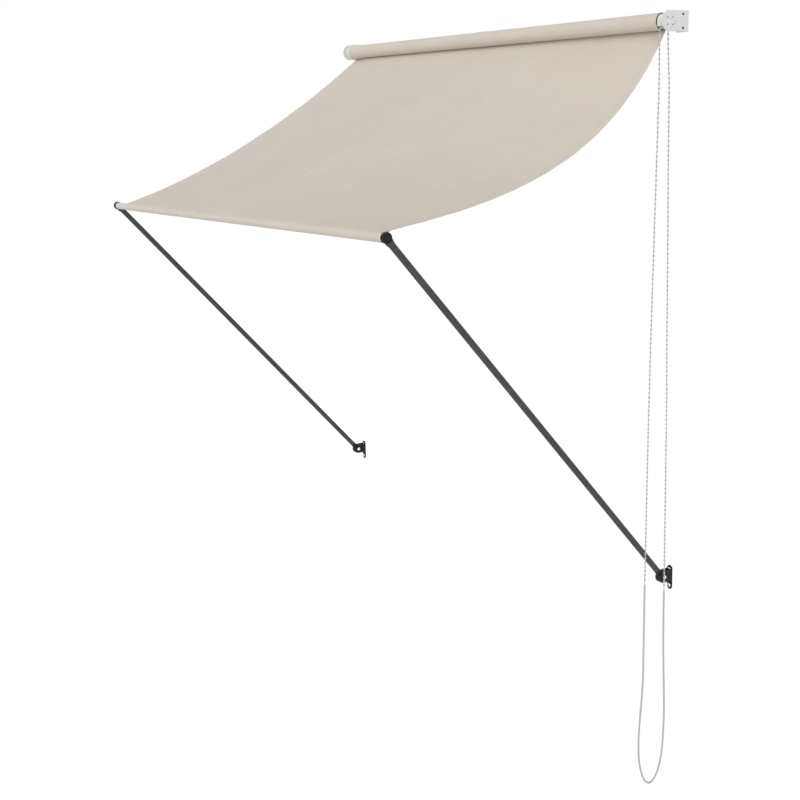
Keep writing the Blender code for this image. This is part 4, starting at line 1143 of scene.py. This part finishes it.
class AWNING_OT_wall_pivots(bpy.types.Operator):
    """Finish the arms' wall brackets, bolts and nuts"""

    bl_idname = "awning.wall_pivots"
    bl_label = "Wall pivots"

    def execute(self, context):
        for side in ("right", "left"):
            softened("arm_bracket_" + side, "root", "anthracite_cast", "casting", 0.0007, 3)
            softened("pivot_bolt_" + side, "root", "zinc", "zinc", 0.0006, 3)
            softened("pivot_nut_" + side, "root", "zinc", "zinc", 0.0006, 2)
        return {"FINISHED"}


class AWNING_OT_springs(bpy.types.Operator):
    """Wind the torsion springs of the arms and the wrap spring of the drive"""

    bl_idname = "awning.springs"
    bl_label = "Springs"

    def execute(self, context):
        tree = coil_tree()
        springs = {
            "arm_spring_right": (0.001, 3.0), "arm_spring_left": (0.001, 3.0), "clutch_spring": (0.0009, 6.0),
        }
        for node, (wire, turns) in springs.items():
            low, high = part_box(node)
            centre = (low + high) / 2
            coil = tree.run(node + "_coil", path_mesh(node, [[centre, centre + Vector((0.001, 0, 0))]]), {
                "Turns": turns, "Mean radius": (high.z - low.z) / 2 - wire, "Wire radius": wire,
                "Travel": high.x - low.x - 2 * wire, "Start": (high.x - wire, centre.y, centre.z),
            }, "spring", 60.0)
            settle(coil, "root", "spring_steel", node)
        return {"FINISHED"}


class AWNING_OT_screws(bpy.types.Operator):
    """Set pan-head screws in the wall plates and wall flanges"""

    bl_idname = "awning.screws"
    bl_label = "Wall screws"

    def execute(self, context):
        nodes = sorted(name for name in frame["nodes"] if "_screw_" in name)
        corners = [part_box(node) for node in nodes]
        radius = (corners[0][1].x - corners[0][0].x) / 2
        depth = corners[0][1].y - corners[0][0].y
        bm = bmesh.new()
        height = 0.0026
        profile = [
            (depth, 0.0), (depth, radius * 0.48), (height, radius * 0.48), (height, radius * 0.98),
            (height * 0.5, radius), (height * 0.22, radius * 0.88), (0.0001, radius * 0.62),
        ]
        turn_y = Matrix.Rotation(math.pi / 2, 4, "Z")
        segments = 32
        rings = [circle_ring(bm, turn_y, along, size, segments) for along, size in profile]
        for along, size in ((0.0001, 0.46), (height * 0.75, 0.36)):
            ring = []
            for k in range(segments):
                angle = 2 * math.pi * k / segments
                lobe = radius * size * (0.62 + 0.38 * math.cos(4 * angle))
                corner = Vector((along, lobe * math.cos(angle), lobe * math.sin(angle)))
                ring.append(bm.verts.new(turn_y @ corner))
            rings.append(ring)
        rings.append(circle_ring(bm, turn_y, height * 0.85, 0.0, segments))
        for near, far in zip(rings, rings[1:]):
            bridge(bm, near, far)
        bmesh.ops.recalc_face_normals(bm, faces=bm.faces)
        pattern = add_mesh("screw_pattern", bm, "zinc")
        places = bpy.data.meshes.new("screw_places")
        places.from_pydata([
            ((low.x + high.x) / 2, low.y, (low.z + high.z) / 2) for low, high in corners
        ], [], [])
        screws = screw_tree().run("wall_screws", places, {"Screw": pattern, "Seed": 4}, "zinc")
        bpy.data.objects.remove(pattern, do_unlink=True)
        settle(screws, "root", "zinc", *nodes)
        # Black cups in the screws' sockets: painted shade in the recesses
        socket_shade = [
            (((low.x + high.x) / 2, low.y + 0.0001, (low.z + high.z) / 2), SOCKET_SHADE_CUP)
            for low, high in corners
        ]
        shade_cups("screw_sockets", Matrix.Rotation(-math.pi / 2, 4, "Z"), socket_shade, "dark_bolt")
        return {"FINISHED"}


# Camera and stage


class AWNING_OT_camera(bpy.types.Operator):
    """Set the camera at the photograph's viewpoint"""

    bl_idname = "awning.camera"
    bl_label = "Camera"

    def execute(self, context):
        stage = context.scene.awning_stage
        heading, dip, tilt = (math.radians(a) for a in (stage.heading, stage.dip, stage.tilt))
        look = Vector((-math.sin(heading) * math.cos(dip), math.cos(heading) * math.cos(dip), -math.sin(dip)))
        level = Vector((math.cos(heading), math.sin(heading), 0.0))
        upright = level.cross(look)
        right = level * math.cos(tilt) + upright * math.sin(tilt)
        up = upright * math.cos(tilt) - level * math.sin(tilt)
        camera = link_object("camera", bpy.data.cameras.new("camera"))
        turn = Matrix((right, up, -look)).transposed().to_4x4()
        camera.matrix_world = Matrix.Translation(Vector(stage.camera)) @ turn
        camera.data.sensor_width = 36.0
        camera.data.lens = stage.lens
        camera.data.shift_y = stage.shift
        camera.data.clip_end = 100.0
        context.scene.camera = camera
        return {"FINISHED"}


class AWNING_OT_stage(bpy.types.Operator):
    """Lay the pale floor and hang the soft studio light"""

    bl_idname = "awning.stage"
    bl_label = "Floor and light"

    def execute(self, context):
        stage = context.scene.awning_stage
        bm = bmesh.new()
        bmesh.ops.create_circle(bm, cap_ends=True, segments=64, radius=40.0)
        bmesh.ops.translate(bm, verts=bm.verts, vec=(-0.8, -0.5, stage.floor))
        floor = link_object("floor", mesh_of("floor", bm))
        floor.data.materials.append(self.floor_finish())
        self.light_room(context.scene, stage.room_light)
        lamps = [("key", stage.key_light, KEY_TOWARDS), ("fill", stage.fill_light, FILL_TOWARDS)]
        for name, strength, towards in lamps:
            lamp = bpy.data.lights.new(name, "SUN")
            lamp.energy = strength
            lamp.angle = stage.key_spread
            light = link_object(name, lamp)
            light.rotation_euler = Vector(towards).to_track_quat("-Z", "Y").to_euler()
        context.scene.view_settings.view_transform = "Standard"
        return {"FINISHED"}

    def seen_directly(self, tree):
        """1 for what the camera, a mirror or glass sees directly, else 0."""
        path = add_node(tree, "ShaderNodeLightPath")
        total = path.outputs["Is Camera Ray"]
        for name in ("Is Glossy Ray", "Is Transmission Ray"):
            rays = {0: total, 1: path.outputs[name]}
            total = add_node(tree, "ShaderNodeMath", rays, operation="MAXIMUM").outputs[0]
        return total

    def floor_finish(self):
        """Matt for the light that bounces, nearly white where it is seen directly."""
        recipe = Recipe("pale_floor", (0.88, 0.88, 0.88), 0.9)
        recipe.shader.inputs["Specular IOR Level"].default_value = 0.0
        white = recipe.add("ShaderNodeEmission", {"Color": (1.0, 1.0, 1.0, 1.0), "Strength": FLOOR_WHITE})
        share = recipe.sum(self.seen_directly(recipe.tree), FLOOR_WHITE_SHARE, "MULTIPLY")
        mix = recipe.add("ShaderNodeMixShader", {
            0: share, 1: recipe.shader.outputs[0], 2: white.outputs[0],
        })
        recipe.links.new(mix.outputs[0], recipe.tree.nodes["Material Output"].inputs["Surface"])
        return recipe.material

    def light_room(self, scene, strength):
        """Even light from all sides, in front of a background that is seen as white."""
        world = bpy.data.worlds.new("studio")
        scene.world = world
        world.use_nodes = True
        tree = world.node_tree
        background = tree.nodes["Background"]
        background.inputs["Color"].default_value = (1.0, 1.0, 1.0, 1.0)
        level = add_node(tree, "ShaderNodeMapRange", {
            "Value": self.seen_directly(tree), "To Min": strength, "To Max": 1.0,
        })
        tree.links.new(level.outputs["Result"], background.inputs["Strength"])


class AWNING_PT_panel(bpy.types.Panel):
    """Lists the awning's pieces, sizes and colours"""

    bl_idname = "AWNING_PT_panel"
    bl_label = "Canvas Awning"
    bl_space_type = "VIEW_3D"
    bl_region_type = "UI"
    bl_category = "Awning"

    def draw(self, context):
        for operator in OPERATORS:
            self.layout.operator(operator.bl_idname)
        for name, group in GROUPS.items():
            box = self.layout.box()
            box.label(text=group.__name__)
            for key in group.__annotations__:
                box.prop(getattr(context.scene, name), key)


OPERATORS = (
    AWNING_OT_camera,
    AWNING_OT_chain,
    AWNING_OT_canvas,
    AWNING_OT_roll,
    AWNING_OT_roller_ends,
    AWNING_OT_front_bar,
    AWNING_OT_arms,
    AWNING_OT_wall_pivots,
    AWNING_OT_springs,
    AWNING_OT_screws,
    AWNING_OT_stage,
)


def register():
    for group in GROUPS.values():
        bpy.utils.register_class(group)
    for operator in OPERATORS:
        bpy.utils.register_class(operator)
    bpy.utils.register_class(AWNING_PT_panel)
    for name, group in GROUPS.items():
        setattr(bpy.types.Scene, name, bpy.props.PointerProperty(type=group))


def unregister():
    for name in GROUPS:
        delattr(bpy.types.Scene, name)
    bpy.utils.unregister_class(AWNING_PT_panel)
    for group in list(OPERATORS) + list(GROUPS.values()):
        bpy.utils.unregister_class(group)


def main():
    register()
    for operator in OPERATORS:
        group, name = operator.bl_idname.split(".")
        getattr(getattr(bpy.ops, group), name)()


if __name__ == "__main__":
    main()
